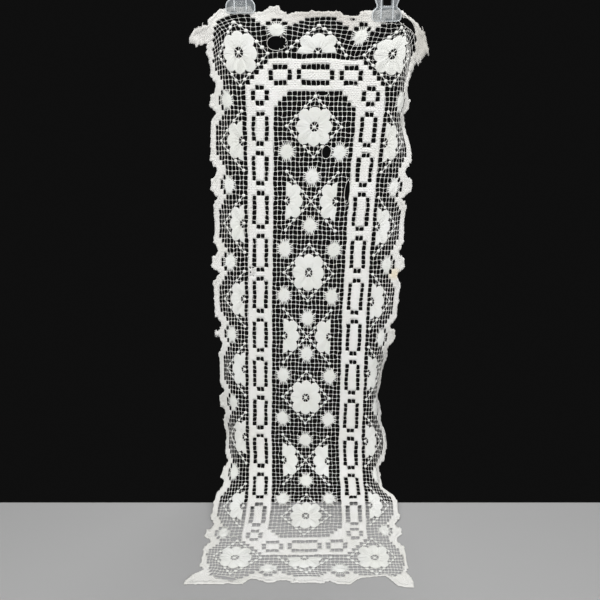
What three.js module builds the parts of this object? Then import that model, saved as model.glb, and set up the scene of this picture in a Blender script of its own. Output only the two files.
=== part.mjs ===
// A lace table runner hanging from two clear clips, its lower end lying forward on the surface below.
// Millimetres, +Z up, +X to the viewer's right, the viewer on the -Y side.
// The origin is on the hanging line, above the middle of the runner.
//
// The lace is laid out in net squares. X counts squares across from the left side of the centre field,
// Y counts squares down from the first oval of the side bands. hang() takes a place in squares to its
// place in space.
import * as THREE from 'three';

// Driving dimensions
const SHEET_THICKNESS = 2;
const FIELD_WIDTH = 18;
const BAND_WIDTH = 6;
const LENGTH_SUM = 94;
const MARGIN_WIDTH = 10.6;
const NET_BAR = 0.6;
const OVAL_BAR = 0.28;
const CLIP_WIDTH = 38;
const CLIP_HEIGHT = 41;
const CLIP_DEPTH = 9.6;
const CLIP_GAP = 0.3;

// The row of the top edge hangs this far below the hanging line, before the cloth is pulled out of true
const TOP_EDGE_ROW = -20.6;
const TOP_EDGE_DROP = 38;

// Derived places, in squares
const MIDDLE = FIELD_WIDTH / 2;
const BAND_EDGE = MIDDLE + BAND_WIDTH;

// How the runner hangs, a row for each station down its length: lean from the vertical towards the viewer in
// degrees, height and width of a square, sideways sway, and fall of each row towards the right.
const HANG = [
  { row: -27, lean: 0, high: 5.6, wide: 6.6, sway: 0, fall: 0 },
  { row: -17, lean: 0, high: 5.7, wide: 6.55, sway: 0, fall: 0 },
  { row: -12, lean: -4, high: 5.8, wide: 6.5, sway: 0, fall: 0.005 },
  { row: -8, lean: -4, high: 6.7, wide: 6.45, sway: 0, fall: 0.008 },
  { row: 0, lean: -5, high: 6.9, wide: 6.35, sway: -1, fall: 0.01 },
  { row: 20, lean: 1, high: 7.1, wide: 6.1, sway: -6, fall: 0.02 },
  { row: 40, lean: 2, high: 7.2, wide: 6, sway: -10, fall: 0.022 },
  { row: 60, lean: 4, high: 7.2, wide: 6, sway: -12, fall: 0.04 },
  { row: 72, lean: 10, high: 6.9, wide: 6, sway: -13, fall: 0.035 },
  { row: 80, lean: 56, high: 6.4, wide: 6, sway: -12, fall: 0.015 },
  { row: 86, lean: 74, high: 6.8, wide: 6, sway: -12, fall: 0 },
  { row: 92, lean: 84, high: 6.9, wide: 6, sway: -13, fall: -0.012 },
  { row: 97, lean: 90, high: 6.4, wide: 6, sway: -15, fall: -0.03 },
  { row: 104, lean: 90, high: 6.1, wide: 6, sway: -15, fall: -0.005 },
  { row: 107, lean: 90, high: 5.2, wide: 6, sway: -16, fall: 0 },
  { row: 122, lean: 90, high: 5, wide: 6, sway: -16, fall: 0.015 },
];

// How the loose margins outside the bands hang: their drawn-in width as a share of the field's squares, how
// far the outer edge swings back, and how far it drops, on the left and on the right.
const MARGIN = [
  { row: -24, left: 0.97, right: 0.78, leftBack: 0, rightBack: 0, leftDrop: 36, rightDrop: 58 },
  { row: -18, left: 0.87, right: 0.68, leftBack: 0, rightBack: 0, leftDrop: 29, rightDrop: 46 },
  { row: -15, left: 0.72, right: 0.5, leftBack: 2, rightBack: 2, leftDrop: 19, rightDrop: 42 },
  { row: -10, left: 0.68, right: 0.47, leftBack: 5, rightBack: 6, leftDrop: 8, rightDrop: 26 },
  { row: -4, left: 0.7, right: 0.52, leftBack: 7, rightBack: 11, leftDrop: 3, rightDrop: 8 },
  { row: 2, left: 0.75, right: 0.49, leftBack: 9, rightBack: 14, leftDrop: 2, rightDrop: 2 },
  { row: 8, left: 0.79, right: 0.7, leftBack: 6, rightBack: 8, leftDrop: 2, rightDrop: -1 },
  { row: 15, left: 0.79, right: 0.77, leftBack: 4, rightBack: 4, leftDrop: 1, rightDrop: -3 },
  { row: 23, left: 0.77, right: 0.74, leftBack: 8, rightBack: 9, leftDrop: 2, rightDrop: -4 },
  { row: 31, left: 0.82, right: 0.79, leftBack: 5, rightBack: 6, leftDrop: 2, rightDrop: -1 },
  { row: 39, left: 0.81, right: 0.76, leftBack: 4, rightBack: 8, leftDrop: 3, rightDrop: -1 },
  { row: 48, left: 0.745, right: 0.68, leftBack: 6, rightBack: 14, leftDrop: 2, rightDrop: 2 },
  { row: 55, left: 0.72, right: 0.5, leftBack: 12, rightBack: 30, leftDrop: 4, rightDrop: 7 },
  { row: 60, left: 0.72, right: 0.44, leftBack: 14, rightBack: 30, leftDrop: 3, rightDrop: 9 },
  { row: 66, left: 0.68, right: 0.56, leftBack: 16, rightBack: 26, leftDrop: 4, rightDrop: 13 },
  { row: 71, left: 0.6, right: 0.67, leftBack: 18, rightBack: 20, leftDrop: 5, rightDrop: 10 },
  { row: 79, left: 0.67, right: 0.44, leftBack: 7, rightBack: 10, leftDrop: 0, rightDrop: 4 },
  { row: 87, left: 0.79, right: 0.77, leftBack: 0, rightBack: 0, leftDrop: 0, rightDrop: 1 },
  { row: 97, left: 0.8, right: 0.75, leftBack: 0, rightBack: 0, leftDrop: 0, rightDrop: 4 },
  { row: 105, left: 0.79, right: 0.77, leftBack: 0, rightBack: 0, leftDrop: 0, rightDrop: 0 },
  { row: 109, left: 0.76, right: 0.78, leftBack: 0, rightBack: 0, leftDrop: 0, rightDrop: 0 },
  { row: 112, left: 0.97, right: 0.8, leftBack: 0, rightBack: 0, leftDrop: 0, rightDrop: 0 },
  { row: 122, left: 1, right: 0.82, leftBack: 0, rightBack: 0, leftDrop: 0, rightDrop: 0 },
];
// A margin gathers more and more from the band outwards, as far as this share of it, and less again in its
// firm edge.
const FIRM_FROM = 0.7;
const FIRM_EASE = 0.7;
const BACK_BEND = 1.5;
const DROP_BEND = 3;

// Where the two ends are pulled out of true, by the clips above and by lying crumpled below: the place, how
// far the pull reaches round it, and how far it moves the cloth across and down, all in squares.
const PULLS = [
  { x: -9, y: -20, reach: 5, across: -1.8, down: 0.5 },
  { x: -6, y: -16, reach: 8, across: -0.3, down: -1.3 },
  { x: 2, y: -15, reach: 6.5, across: 0, down: -1.5 },
  { x: 6, y: -22, reach: 8, across: 1, down: 0 },
  { x: 10, y: -14, reach: 7, across: 0.5, down: -0.8 },
  { x: 16, y: -18, reach: 8, across: 1.7, down: 0 },
  { x: 25, y: -17, reach: 6, across: 1.5, down: 0.3 },
  { x: 29, y: -14, reach: 7, across: 0, down: -1.3 },
  { x: -15, y: 107, reach: 9, across: 0, down: -0.9 },
  { x: -8, y: 116, reach: 8, across: -0.7, down: 0 },
  { x: 9, y: 116, reach: 8, across: 1.4, down: -1.5 },
  { x: 22.5, y: 115.5, reach: 5, across: 0, down: -1.8 },
  { x: 27.5, y: 115.5, reach: 5.5, across: -0.4, down: -2.3 },
  { x: 31, y: 115, reach: 5, across: -2.6, down: 0 },
];

// Places of the motifs, in squares. Rows are those of the motif centres.
const FULL_FLOWER_ROWS = [3, 33, 61, 91];
const FACING_PAIR_ROWS = [18, 47, 76];
const CENTRE_BUD_ROWS = [13, 23, 43, 51, 71, 81];
const SIDE_BUD_ROWS = [8, 28, 38, 56, 66, 86];
const SIDE_BUD_COLUMNS = [3, 15];
const SCALLOP_ROWS = [-11, 6, 23, 39, 55, 71, 88, 105];
const TAB_ROWS = [-2, 15, 31, 47, 63, 79, 96];
const SCALLOP_COLUMNS = [-7, 9, 25];
const TAB_COLUMNS = [1, 17];
const EDGE_FLOWER_OFFSET = MIDDLE + 7;
const EDGE_BUD_OFFSET = MIDDLE + 11;
const END_BUD_OUT = 4;

// The ovals down each side band, top row and bottom row of each
const OVALS = [
  { top: -5, bottom: -2 }, { top: 0, bottom: 6 }, { top: 8, bottom: 14 }, { top: 16, bottom: 23 },
  { top: 25, bottom: 32 }, { top: 34, bottom: 41 }, { top: 43, bottom: 50 }, { top: 52, bottom: 59 },
  { top: 61, bottom: 68 }, { top: 70, bottom: 77 }, { top: 79, bottom: 85 }, { top: 87, bottom: 93 },
  { top: 95, bottom: 98 },
];

// The ovals across each end band, first and last square of each
const END_OVALS = [{ from: -1, to: 3 }, { from: 5, to: 12 }, { from: 14, to: 18 }];
const END_BAND_TOP = -10;

// Half-width of a rosette in squares, for each square away from its centre line
const ROSETTE_HALF_WIDTHS = [4, 3, 3, 1];
const BUD_REACH = 2;
const CHEVRON_REACH = 6;

// How far the open net reaches: from a cut corner of the field, and out from the bands at a scallop, at a tab
// and round a corner. At a scallop it keeps its reach for a few squares each way.
const FIELD_CORNER = 4;
const SCALLOP_NET_OUT = 8;
const SCALLOP_NET_FLAT = 3;
const TAB_NET_OUT = 7;
const CORNER_NET_OUT = 9;

// The squares where the net is cut open, and the pitch of the cut
const CUT_ROWS = { first: -13, last: 105 };
const CUT_COLUMNS = { first: -11, last: 27 };
const CUT_PITCH = 2;

// Smooth interpolation in a table that never overshoots its values
function slopeAt(table, key, i) {
  if (i === 0 || i === table.length - 1) return 0;
  const before = (table[i][key] - table[i - 1][key]) / (table[i].row - table[i - 1].row);
  const after = (table[i + 1][key] - table[i][key]) / (table[i + 1].row - table[i].row);
  return before * after <= 0 ? 0 : (2 * before * after) / (before + after);
}

function lookUp(table, key, row) {
  const last = table.length - 2;
  let i = 0;
  while (i < last && table[i + 1].row <= row) i += 1;
  const span = table[i + 1].row - table[i].row;
  const t = Math.min(1, Math.max(0, (row - table[i].row) / span));
  const rise = table[i + 1][key] - table[i][key];
  const start = slopeAt(table, key, i) * span;
  const end = slopeAt(table, key, i + 1) * span;
  const bend = (start + end - 2 * rise) * t;
  return table[i][key] + t * (start + t * (3 * rise - 2 * start - end + bend));
}

// The profile from the top edge down: how far forward and how far down each row has come
const PROFILE_STEP = 0.05;
const PROFILE = [];
{
  const first = HANG[0].row;
  const steps = Math.round((HANG[HANG.length - 1].row - first) / PROFILE_STEP);
  let forward = 0;
  let down = 0;
  for (let i = 0; i <= steps; i += 1) {
    const row = first + i * PROFILE_STEP;
    const lean = THREE.MathUtils.degToRad(lookUp(HANG, 'lean', row));
    PROFILE.push({ forward, down, lean });
    const length = lookUp(HANG, 'high', row) * PROFILE_STEP;
    forward += Math.sin(lean) * length;
    down += Math.cos(lean) * length;
  }
}

function profileAt(row) {
  const place = (row - HANG[0].row) / PROFILE_STEP;
  const i = Math.min(PROFILE.length - 2, Math.max(0, Math.floor(place)));
  const t = place - i;
  const mix = (key) => PROFILE[i][key] + t * (PROFILE[i + 1][key] - PROFILE[i][key]);
  return { forward: mix('forward'), down: mix('down'), lean: mix('lean') };
}

function pulled(x, y) {
  let X = x;
  let Y = y;
  for (const pull of PULLS) {
    const away = Math.hypot(x - pull.x, y - pull.y) / pull.reach;
    const share = Math.max(0, 1 - away ** 2) ** 2;
    X += share * pull.across;
    Y += share * pull.down;
  }
  return [X, Y];
}

function gathered(far) {
  const soft = Math.min(far, FIRM_FROM);
  const firm = far - soft;
  return soft ** 2 + 2 * FIRM_FROM * firm - FIRM_EASE * firm ** 2;
}

function middleSurface(x, y) {
  const [X, Y] = pulled(x, y);
  const side = X < MIDDLE ? 'left' : 'right';
  const sign = X < MIDDLE ? -1 : 1;
  const wide = lookUp(HANG, 'wide', Y);
  const inner = Math.min(Math.abs(X - MIDDLE), BAND_EDGE);
  const outer = Math.max(Math.abs(X - MIDDLE) - BAND_EDGE, 0);
  const far = outer / MARGIN_WIDTH;
  const drawnIn = MARGIN_WIDTH * (1 - lookUp(MARGIN, side, Y)) * gathered(far) / gathered(1);
  const across = sign * wide * (inner + outer - drawnIn);
  const back = far ** BACK_BEND * lookUp(MARGIN, side + 'Back', Y);
  const drop = far ** DROP_BEND * lookUp(MARGIN, side + 'Drop', Y);
  const along = across * lookUp(HANG, 'fall', Y) + drop;
  const { forward, down, lean } = profileAt(Y);
  const top = profileAt(TOP_EDGE_ROW);
  return new THREE.Vector3(
    lookUp(HANG, 'sway', Y) + across,
    top.forward - forward - Math.sin(lean) * along + Math.cos(lean) * back,
    top.down - TOP_EDGE_DROP - down - Math.cos(lean) * along - Math.sin(lean) * back,
  );
}

// A point of the sheet, half its thickness towards the viewer or away
function hang(X, Y, side) {
  const step = 0.01;
  const point = middleSurface(X, Y);
  const rightward = middleSurface(X + step, Y).sub(middleSurface(X - step, Y));
  const downward = middleSurface(X, Y + step).sub(middleSurface(X, Y - step));
  const normal = downward.cross(rightward).normalize();
  return point.addScaledVector(normal, (side * SHEET_THICKNESS) / 2);
}

// Motifs: centre, and for a half rosette the way its petals point
const EDGE_COLUMNS = [MIDDLE - EDGE_FLOWER_OFFSET, MIDDLE + EDGE_FLOWER_OFFSET];
const END_ROWS = [SCALLOP_ROWS[0], SCALLOP_ROWS[SCALLOP_ROWS.length - 1]];
const ROSETTES = [
  ...FULL_FLOWER_ROWS.map((y) => ({ x: MIDDLE, y, dx: 0, dy: 0 })),
  ...FACING_PAIR_ROWS.map((y) => ({ x: SIDE_BUD_COLUMNS[0], y, dx: 1, dy: 0 })),
  ...FACING_PAIR_ROWS.map((y) => ({ x: SIDE_BUD_COLUMNS[1], y, dx: -1, dy: 0 })),
  ...SCALLOP_ROWS.slice(1, -1).map((y) => ({ x: EDGE_COLUMNS[0], y, dx: -1, dy: 0 })),
  ...SCALLOP_ROWS.slice(1, -1).map((y) => ({ x: EDGE_COLUMNS[1], y, dx: 1, dy: 0 })),
  ...EDGE_COLUMNS.flatMap((x) => END_ROWS.map((y) => ({ x, y, dx: 0, dy: 0 }))),
  { x: MIDDLE, y: END_ROWS[0], dx: 0, dy: -1 },
  { x: MIDDLE, y: END_ROWS[1], dx: 0, dy: 1 },
];
const BUDS = [
  ...CENTRE_BUD_ROWS.map((y) => ({ x: MIDDLE, y })),
  ...SIDE_BUD_COLUMNS.flatMap((x) => SIDE_BUD_ROWS.map((y) => ({ x, y }))),
  ...TAB_ROWS.map((y) => ({ x: MIDDLE - EDGE_BUD_OFFSET, y })),
  ...TAB_ROWS.map((y) => ({ x: MIDDLE + EDGE_BUD_OFFSET, y })),
  ...TAB_COLUMNS.map((x) => ({ x, y: END_ROWS[0] - END_BUD_OUT })),
  ...TAB_COLUMNS.map((x) => ({ x, y: END_ROWS[1] + END_BUD_OUT })),
];

// Whether a square, given by its centre, is worked solid by a motif or crossed by a chevron's threads
function inMotif(x, y) {
  const inRosette = ROSETTES.some((r) => {
    const across = x - r.x;
    const down = y - r.y;
    if (across * r.dx < 0 || down * r.dy < 0) return false;
    const a = Math.abs(across);
    const d = Math.abs(down);
    const half = ROSETTE_HALF_WIDTHS[Math.floor(d)] ?? 0;
    const onDiagonal = Math.round(a + d) === CHEVRON_REACH;
    const chevron = onDiagonal && Math.max(a, d) > ROSETTE_HALF_WIDTHS[0];
    return a < half || chevron;
  });
  const inBud = BUDS.some((b) => {
    const a = Math.abs(x - b.x);
    const d = Math.abs(y - b.y);
    return a < BUD_REACH && d < BUD_REACH && !(a > 1 && d > 1);
  });
  return inRosette || inBud;
}

// The open net of the centre field, with its corners cut across
function inField(x, y) {
  const fromMiddle = Math.abs(x - MIDDLE);
  const fromEnd = Math.min(y, LENGTH_SUM - y) - (END_BAND_TOP + BAND_WIDTH);
  return fromMiddle < MIDDLE && fromEnd > 0 && MIDDLE - fromMiddle + fromEnd > FIELD_CORNER;
}

// The open net of the margins reaches out to a stepped line round each scallop and each tab
function netReach(along, scallops, tabs) {
  const fromScallop = Math.min(...scallops.map((s) => Math.abs(along - s)));
  const fromTab = Math.min(...tabs.map((t) => Math.abs(along - t)));
  const atScallop = SCALLOP_NET_OUT - Math.max(0, Math.ceil(fromScallop - SCALLOP_NET_FLAT));
  return Math.max(atScallop, TAB_NET_OUT - Math.floor(fromTab));
}

function inMargin(x, y) {
  const fromBand = Math.abs(x - MIDDLE) - BAND_EDGE;
  const fromEndBand = Math.max(END_BAND_TOP - y, y - (LENGTH_SUM - END_BAND_TOP));
  if (fromBand > 0 && fromEndBand > 0) {
    return Math.hypot(fromBand, fromEndBand) < CORNER_NET_OUT;
  }
  if (fromBand > 0) return fromBand < 1 + netReach(y, SCALLOP_ROWS, TAB_ROWS);
  return fromEndBand > 0 && fromEndBand < 1 + netReach(x, SCALLOP_COLUMNS, TAB_COLUMNS);
}

// The openings cut through the sheet, as rectangles in squares. The net is cut at twice its pitch.
function netOpenings() {
  const openings = [];
  const inset = NET_BAR / 2;
  const isNet = ([cx, cy]) => (inField(cx, cy) || inMargin(cx, cy)) && !inMotif(cx, cy);
  for (let y = CUT_ROWS.first; y <= CUT_ROWS.last; y += CUT_PITCH) {
    for (let x = CUT_COLUMNS.first; x <= CUT_COLUMNS.last; x += CUT_PITCH) {
      const centres = [[x + 0.5, y + 0.5], [x + 1.5, y + 0.5], [x + 0.5, y + 1.5], [x + 1.5, y + 1.5]];
      if (!centres.every(isNet)) continue;
      const right = x + CUT_PITCH - inset;
      const bottom = y + CUT_PITCH - inset;
      openings.push({ x0: x + inset, x1: right, y0: y + inset, y1: bottom });
    }
  }
  return openings;
}

// Each oval has a run of gaps down both sides and a pair above and below
function bandOpenings() {
  const openings = [];
  const cut = (x0, x1, y0, y1) => {
    const i = OVAL_BAR / 2;
    openings.push({ x0: x0 + i, x1: x1 - i, y0: y0 + i, y1: y1 - i });
  };
  for (const left of [-BAND_WIDTH, FIELD_WIDTH]) {
    for (const { top, bottom } of OVALS) {
      cut(left + 1, left + 2, top + 1, bottom);
      cut(left + 4, left + 5, top + 1, bottom);
      cut(left + 2, left + 4, top, top + 1);
      cut(left + 2, left + 4, bottom, bottom + 1);
    }
  }
  for (const top of [END_BAND_TOP, LENGTH_SUM - END_BAND_TOP - BAND_WIDTH]) {
    for (const { from, to } of END_OVALS) {
      cut(from, from + 1, top + 2, top + 4);
      cut(to, to + 1, top + 2, top + 4);
      const runs = from < MIDDLE && to > MIDDLE ? [[from + 1, MIDDLE], [MIDDLE, to]] : [[from + 1, to]];
      for (const [start, end] of runs) {
        cut(start, end, top + 1, top + 2);
        cut(start, end, top + 4, top + 5);
      }
    }
  }
  return openings;
}

// The scalloped edge, as distance out from the band for places along it
const SCALLOP_HALF = 4.75;
const TAB_HALF = 1.75;
const EDGE_SHAPE = {
  scallop: [
    { at: -SCALLOP_HALF, out: 9.7 },
    { at: -3.5, out: 10.85 },
    { at: 0, out: 10.6 },
    { at: 3.5, out: 10.85 },
    { at: SCALLOP_HALF, out: 9.7 },
  ],
  tab: [
    { at: -TAB_HALF, out: 10 },
    { at: -1.25, out: 11.1 },
    { at: 1.25, out: 11.1 },
    { at: TAB_HALF, out: 10 },
  ],
};
const NICK_OUT = 8.9;

function edgePoints(scallops, tabs) {
  const points = [];
  const add = (centre, shape) => shape.forEach(({ at, out }) => points.push({ at: centre + at, out }));
  scallops.forEach((s) => add(s, EDGE_SHAPE.scallop));
  tabs.forEach((t) => add(t, EDGE_SHAPE.tab));
  scallops.slice(1).forEach((s, i) => {
    points.push({ at: (scallops[i] + SCALLOP_HALF + tabs[i] - TAB_HALF) / 2, out: NICK_OUT });
    points.push({ at: (s - SCALLOP_HALF + tabs[i] + TAB_HALF) / 2, out: NICK_OUT });
  });
  return points.sort((a, b) => a.at - b.at);
}

// Rows where the sheet is divided for its bending, two squares apart
const FIRST_ROW = -17;
const LAST_ROW = LENGTH_SUM - FIRST_ROW;
const ROW_STEP = 2;
const ACROSS_STATIONS = [-11, -6, 0, 9, 18, 24, 29];
const EDGE_CLEAR = 0.2;

// The corner tabs, each as if it were at the top left. The upper right one runs straight into the side.
const CORNER_TABS = {
  upperLeft: [{ x: -16.9, y: -19.4 }, { x: -17, y: -21.6 }, { x: -15.4, y: -20.8 }, { x: -13.3, y: -19.3 }],
  upperRight: [{ x: -16.8, y: -19.2 }, { x: -17, y: -21.8 }, { x: -15.5, y: -21.4 }, { x: -13.5, y: -20.4 }],
  lowerLeft: [{ x: -16.7, y: -19.6 }, { x: -17.1, y: -21.2 }, { x: -14.1, y: -20.9 }, { x: -11.3, y: -20.9 }],
  lowerRight: [{ x: -16.9, y: -17.9 }, { x: -17, y: -21 }, { x: -13.9, y: -20.9 }, { x: -12.9, y: -19.3 }],
};
const UPPER_RIGHT_OUT = 10.6;

const LEFT_EDGE = edgePoints(SCALLOP_ROWS, TAB_ROWS);
const RIGHT_EDGE = LEFT_EDGE.map((p, i) => (i === 0 ? { at: p.at, out: UPPER_RIGHT_OUT } : p));

// The two ends are worn and drawn out of shape, so their edges are set out one by one.
const TOP_EDGE = [
  { at: -12.5, out: 10.3 },
  { at: -10.5, out: 10.9 },
  { at: -7.5, out: 11.3 },
  { at: -4.5, out: 10.8 },
  { at: -3, out: 9.7 },
  { at: -1.5, out: 10.1 },
  { at: -0.5, out: 11.4 },
  { at: 1, out: 11.5 },
  { at: 2, out: 10 },
  { at: 3, out: 9.6 },
  { at: 4, out: 10.3 },
  { at: 6.5, out: 10.4 },
  { at: 12.5, out: 10.3 },
  { at: 13.5, out: 9.5 },
  { at: 16, out: 9.5 },
  { at: 16.5, out: 10.4 },
  { at: 18.5, out: 10.6 },
  { at: 21.5, out: 10.8 },
  { at: 26, out: 10.8 },
  { at: 27.5, out: 9.8 },
  { at: 29.5, out: 10 },
];
const BOTTOM_EDGE = [
  { at: -4, out: 10.8 },
  { at: -3.5, out: 9.7 },
  { at: -2.5, out: 9 },
  { at: -1.5, out: 9.1 },
  { at: 1, out: 10.3 },
  { at: 2.5, out: 10.3 },
  { at: 3.5, out: 9.7 },
  { at: 5.5, out: 11 },
  { at: 8.5, out: 11.4 },
  { at: 11.5, out: 11.3 },
  { at: 13, out: 10.4 },
  { at: 14.5, out: 9.6 },
  { at: 16, out: 10.7 },
  { at: 19.5, out: 10.5 },
  { at: 21.5, out: 9.7 },
  { at: 24.5, out: 8.8 },
  { at: 27, out: 9 },
  { at: 30, out: 9.4 },
];

// How far out the edge stands at a place along it
function reachAt(edge, place) {
  let i = 0;
  while (i < edge.length - 2 && edge[i + 1].at < place) i += 1;
  const a = edge[i];
  const b = edge[i + 1];
  const t = Math.min(1, Math.max(0, (place - a.at) / (b.at - a.at)));
  return a.out + t * (b.out - a.out);
}

function leftSide(y) {
  return MIDDLE - BAND_EDGE - reachAt(LEFT_EDGE, y);
}

function rightSide(y) {
  return MIDDLE + BAND_EDGE + reachAt(RIGHT_EDGE, y);
}

// One strip of the sheet between two rows, in pieces from station to station: the outline of each, in order
// round it, and the openings within it. An opening that crosses a row is a notch in both strips.
function stripPieces(y0, y1, openings) {
  const clipped = openings
    .filter((o) => o.y0 < y1 && o.y1 > y0)
    .map((o) => ({ x0: o.x0, x1: o.x1, y0: Math.max(o.y0, y0), y1: Math.min(o.y1, y1) }));
  const through = clipped.filter((o) => o.y0 === y0 && o.y1 === y1);
  const stations = ACROSS_STATIONS.map((x) => ({ x0: x, x1: x }));
  const partings = [...through, ...stations].sort((a, b) => a.x0 - b.x0);
  const between = LEFT_EDGE.map((p) => p.at).filter((at) => at > y0 + EDGE_CLEAR && at < y1 - EDGE_CLEAR);
  const edge = (side) => ({
    top: side(y0),
    bottom: side(y1),
    chain: between.map((at) => [side(at), at]),
  });
  const upright = (x) => ({ top: x, bottom: x, chain: [] });
  const uprights = partings.flatMap((o) => [upright(o.x0), upright(o.x1)]);
  const bounds = [edge(leftSide), ...uprights, edge(rightSide)];
  const pieces = [];
  for (let i = 0; i < bounds.length; i += 2) {
    const from = bounds[i];
    const to = bounds[i + 1];
    const inside = clipped.filter((o) => o.x0 > from.top && o.x1 < to.top);
    const notched = (touching, row, depthKey) => touching
      .sort((a, b) => a.x0 - b.x0)
      .flatMap((o) => [[o.x0, row], [o.x0, o[depthKey]], [o.x1, o[depthKey]], [o.x1, row]]);
    const topRow = notched(inside.filter((o) => o.y0 === y0), y0, 'y1');
    const bottomRow = notched(inside.filter((o) => o.y1 === y1), y1, 'y0');
    const outline = [
      [from.top, y0], ...topRow, [to.top, y0], ...to.chain,
      [to.bottom, y1], ...bottomRow.reverse(), [from.bottom, y1], ...[...from.chain].reverse(),
    ];
    const holes = inside
      .filter((o) => o.y0 > y0 && o.y1 < y1)
      .map((o) => [[o.x0, o.y0], [o.x0, o.y1], [o.x1, o.y1], [o.x1, o.y0]]);
    pieces.push({ outline, holes });
  }
  return pieces;
}

// The two end strips, outside the first and last rows, with the end scallops and the corner tabs
function endPieces(row, flip, edge, leftCorner, rightCorner) {
  const endRow = (y) => (flip ? LENGTH_SUM - y : y);
  const stations = [leftSide(row), ...ACROSS_STATIONS, rightSide(row)];
  const leftTab = leftCorner.map((p) => [p.x, p.y]);
  const rightTab = rightCorner.map((p) => [FIELD_WIDTH - p.x, p.y]).reverse();
  const first = leftTab[leftTab.length - 1][0] + EDGE_CLEAR;
  const last = rightTab[0][0] - EDGE_CLEAR;
  return stations.slice(1).map((to, i) => {
    const from = stations[i];
    const low = Math.max(from, first) + EDGE_CLEAR;
    const high = Math.min(to, last) - EDGE_CLEAR;
    const scallops = edge
      .filter((p) => p.at > low && p.at < high)
      .map((p) => [p.at, END_BAND_TOP - p.out]);
    const start = i === 0 ? leftTab : [[from, END_BAND_TOP - reachAt(edge, from)]];
    const end = i === stations.length - 2 ? rightTab : [[to, END_BAND_TOP - reachAt(edge, to)]];
    const chain = [...start, ...scallops, ...end].map(([x, y]) => [x, endRow(y)]);
    return { outline: [[to, row], [from, row], ...chain], holes: [] };
  });
}

// Join flat pieces into one closed sheet, with a front, a back and walls round every edge
function sheetGeometry(pieces) {
  const places = [];
  const known = new Map();
  const index = ([x, y]) => {
    const key = `${x.toFixed(3)},${y.toFixed(3)}`;
    if (!known.has(key)) {
      known.set(key, places.length);
      places.push([x, y]);
    }
    return known.get(key);
  };
  const triangles = [];
  for (const { outline, holes } of pieces) {
    const points = [outline, ...holes].flat().map(index);
    const vector = ([x, y]) => new THREE.Vector2(x, y);
    const faces = THREE.ShapeUtils.triangulateShape(outline.map(vector), holes.map((h) => h.map(vector)));
    for (const face of faces) {
      const [a, b, c] = face.map((i) => points[i]);
      const [ax, ay] = places[a];
      const [bx, by] = places[b];
      const [cx, cy] = places[c];
      const turn = (bx - ax) * (cy - ay) - (by - ay) * (cx - ax);
      triangles.push(turn > 0 ? [a, b, c] : [a, c, b]);
    }
  }
  const edges = new Map();
  for (const [a, b, c] of triangles) {
    for (const [from, to] of [[a, b], [b, c], [c, a]]) {
      const reverse = `${to},${from}`;
      if (edges.has(reverse)) edges.delete(reverse);
      else edges.set(`${from},${to}`, [from, to]);
    }
  }
  const count = places.length;
  const vertices = [1, -1].flatMap((side) => places.flatMap(([x, y]) => hang(x, y, side).toArray()));
  const faces = [];
  for (const [a, b, c] of triangles) {
    faces.push(a, c, b);
    faces.push(count + a, count + b, count + c);
  }
  for (const [from, to] of edges.values()) {
    faces.push(from, to, count + to);
    faces.push(from, count + to, count + from);
  }
  const geometry = new THREE.BufferGeometry();
  geometry.setAttribute('position', new THREE.Float32BufferAttribute(vertices, 3));
  geometry.setIndex(faces);
  geometry.computeVertexNormals();
  return geometry;
}

function runnerGeometry() {
  const openings = [...netOpenings(), ...bandOpenings()];
  const pieces = [
    ...endPieces(FIRST_ROW, false, TOP_EDGE, CORNER_TABS.upperLeft, CORNER_TABS.upperRight),
    ...endPieces(LAST_ROW, true, BOTTOM_EDGE, CORNER_TABS.lowerLeft, CORNER_TABS.lowerRight),
  ];
  for (let y = FIRST_ROW; y < LAST_ROW; y += ROW_STEP) {
    pieces.push(...stripPieces(y, y + ROW_STEP, openings));
  }
  return sheetGeometry(pieces);
}

// A clip: two jaws over the top edge of the cloth, joined above it in one plain body. Its front is wide at the
// jaws and narrow at the neck: height above the bottom of the jaws, and half its width there.
const CLIPS = [
  { name: 'left_clip', x: -100, bottom: -CLIP_HEIGHT },
  { name: 'right_clip', x: 93, bottom: -CLIP_HEIGHT - 10 },
];
const CLIP_SHAPE = [
  { row: 0, half: 14.8 },
  { row: 0.8, half: 17.1 },
  { row: 2.5, half: 18.6 },
  { row: 5, half: CLIP_WIDTH / 2 },
  { row: 9, half: CLIP_WIDTH / 2 },
  { row: 12, half: 18.3 },
  { row: 14.5, half: 16.4 },
  { row: 16.5, half: 14 },
  { row: 19, half: 13.4 },
  { row: 23, half: 14.7 },
  { row: 29, half: 16.3 },
  { row: 36, half: 16.1 },
  { row: CLIP_HEIGHT, half: 14.3 },
];
const CLIP_JAW_FOOT = 2;
const CLIP_JAW_LENGTH = 20;
const CLIP_ROUND = 1.6;

// The highest place of the cloth's edge in and beside the jaws
function edgeTopUnder(x) {
  const columns = [...TOP_EDGE.map((p) => p.at), ...ACROSS_STATIONS];
  const heights = columns
    .map((column) => middleSurface(column, END_BAND_TOP - reachAt(TOP_EDGE, column)))
    .filter((place) => Math.abs(place.x - x) < CLIP_WIDTH)
    .map((place) => place.z);
  return Math.max(...heights);
}

// Half a clip's depth at a height above the bottom of its jaws
function clipDepth(height, slot) {
  const deep = CLIP_DEPTH / 2;
  const foot = slot + CLIP_JAW_FOOT;
  const jaw = foot + (deep - foot) * Math.min(1, height / CLIP_JAW_LENGTH);
  return Math.min(jaw, deep + Math.min(0, CLIP_HEIGHT - CLIP_ROUND - height) * 0.6);
}

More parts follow.
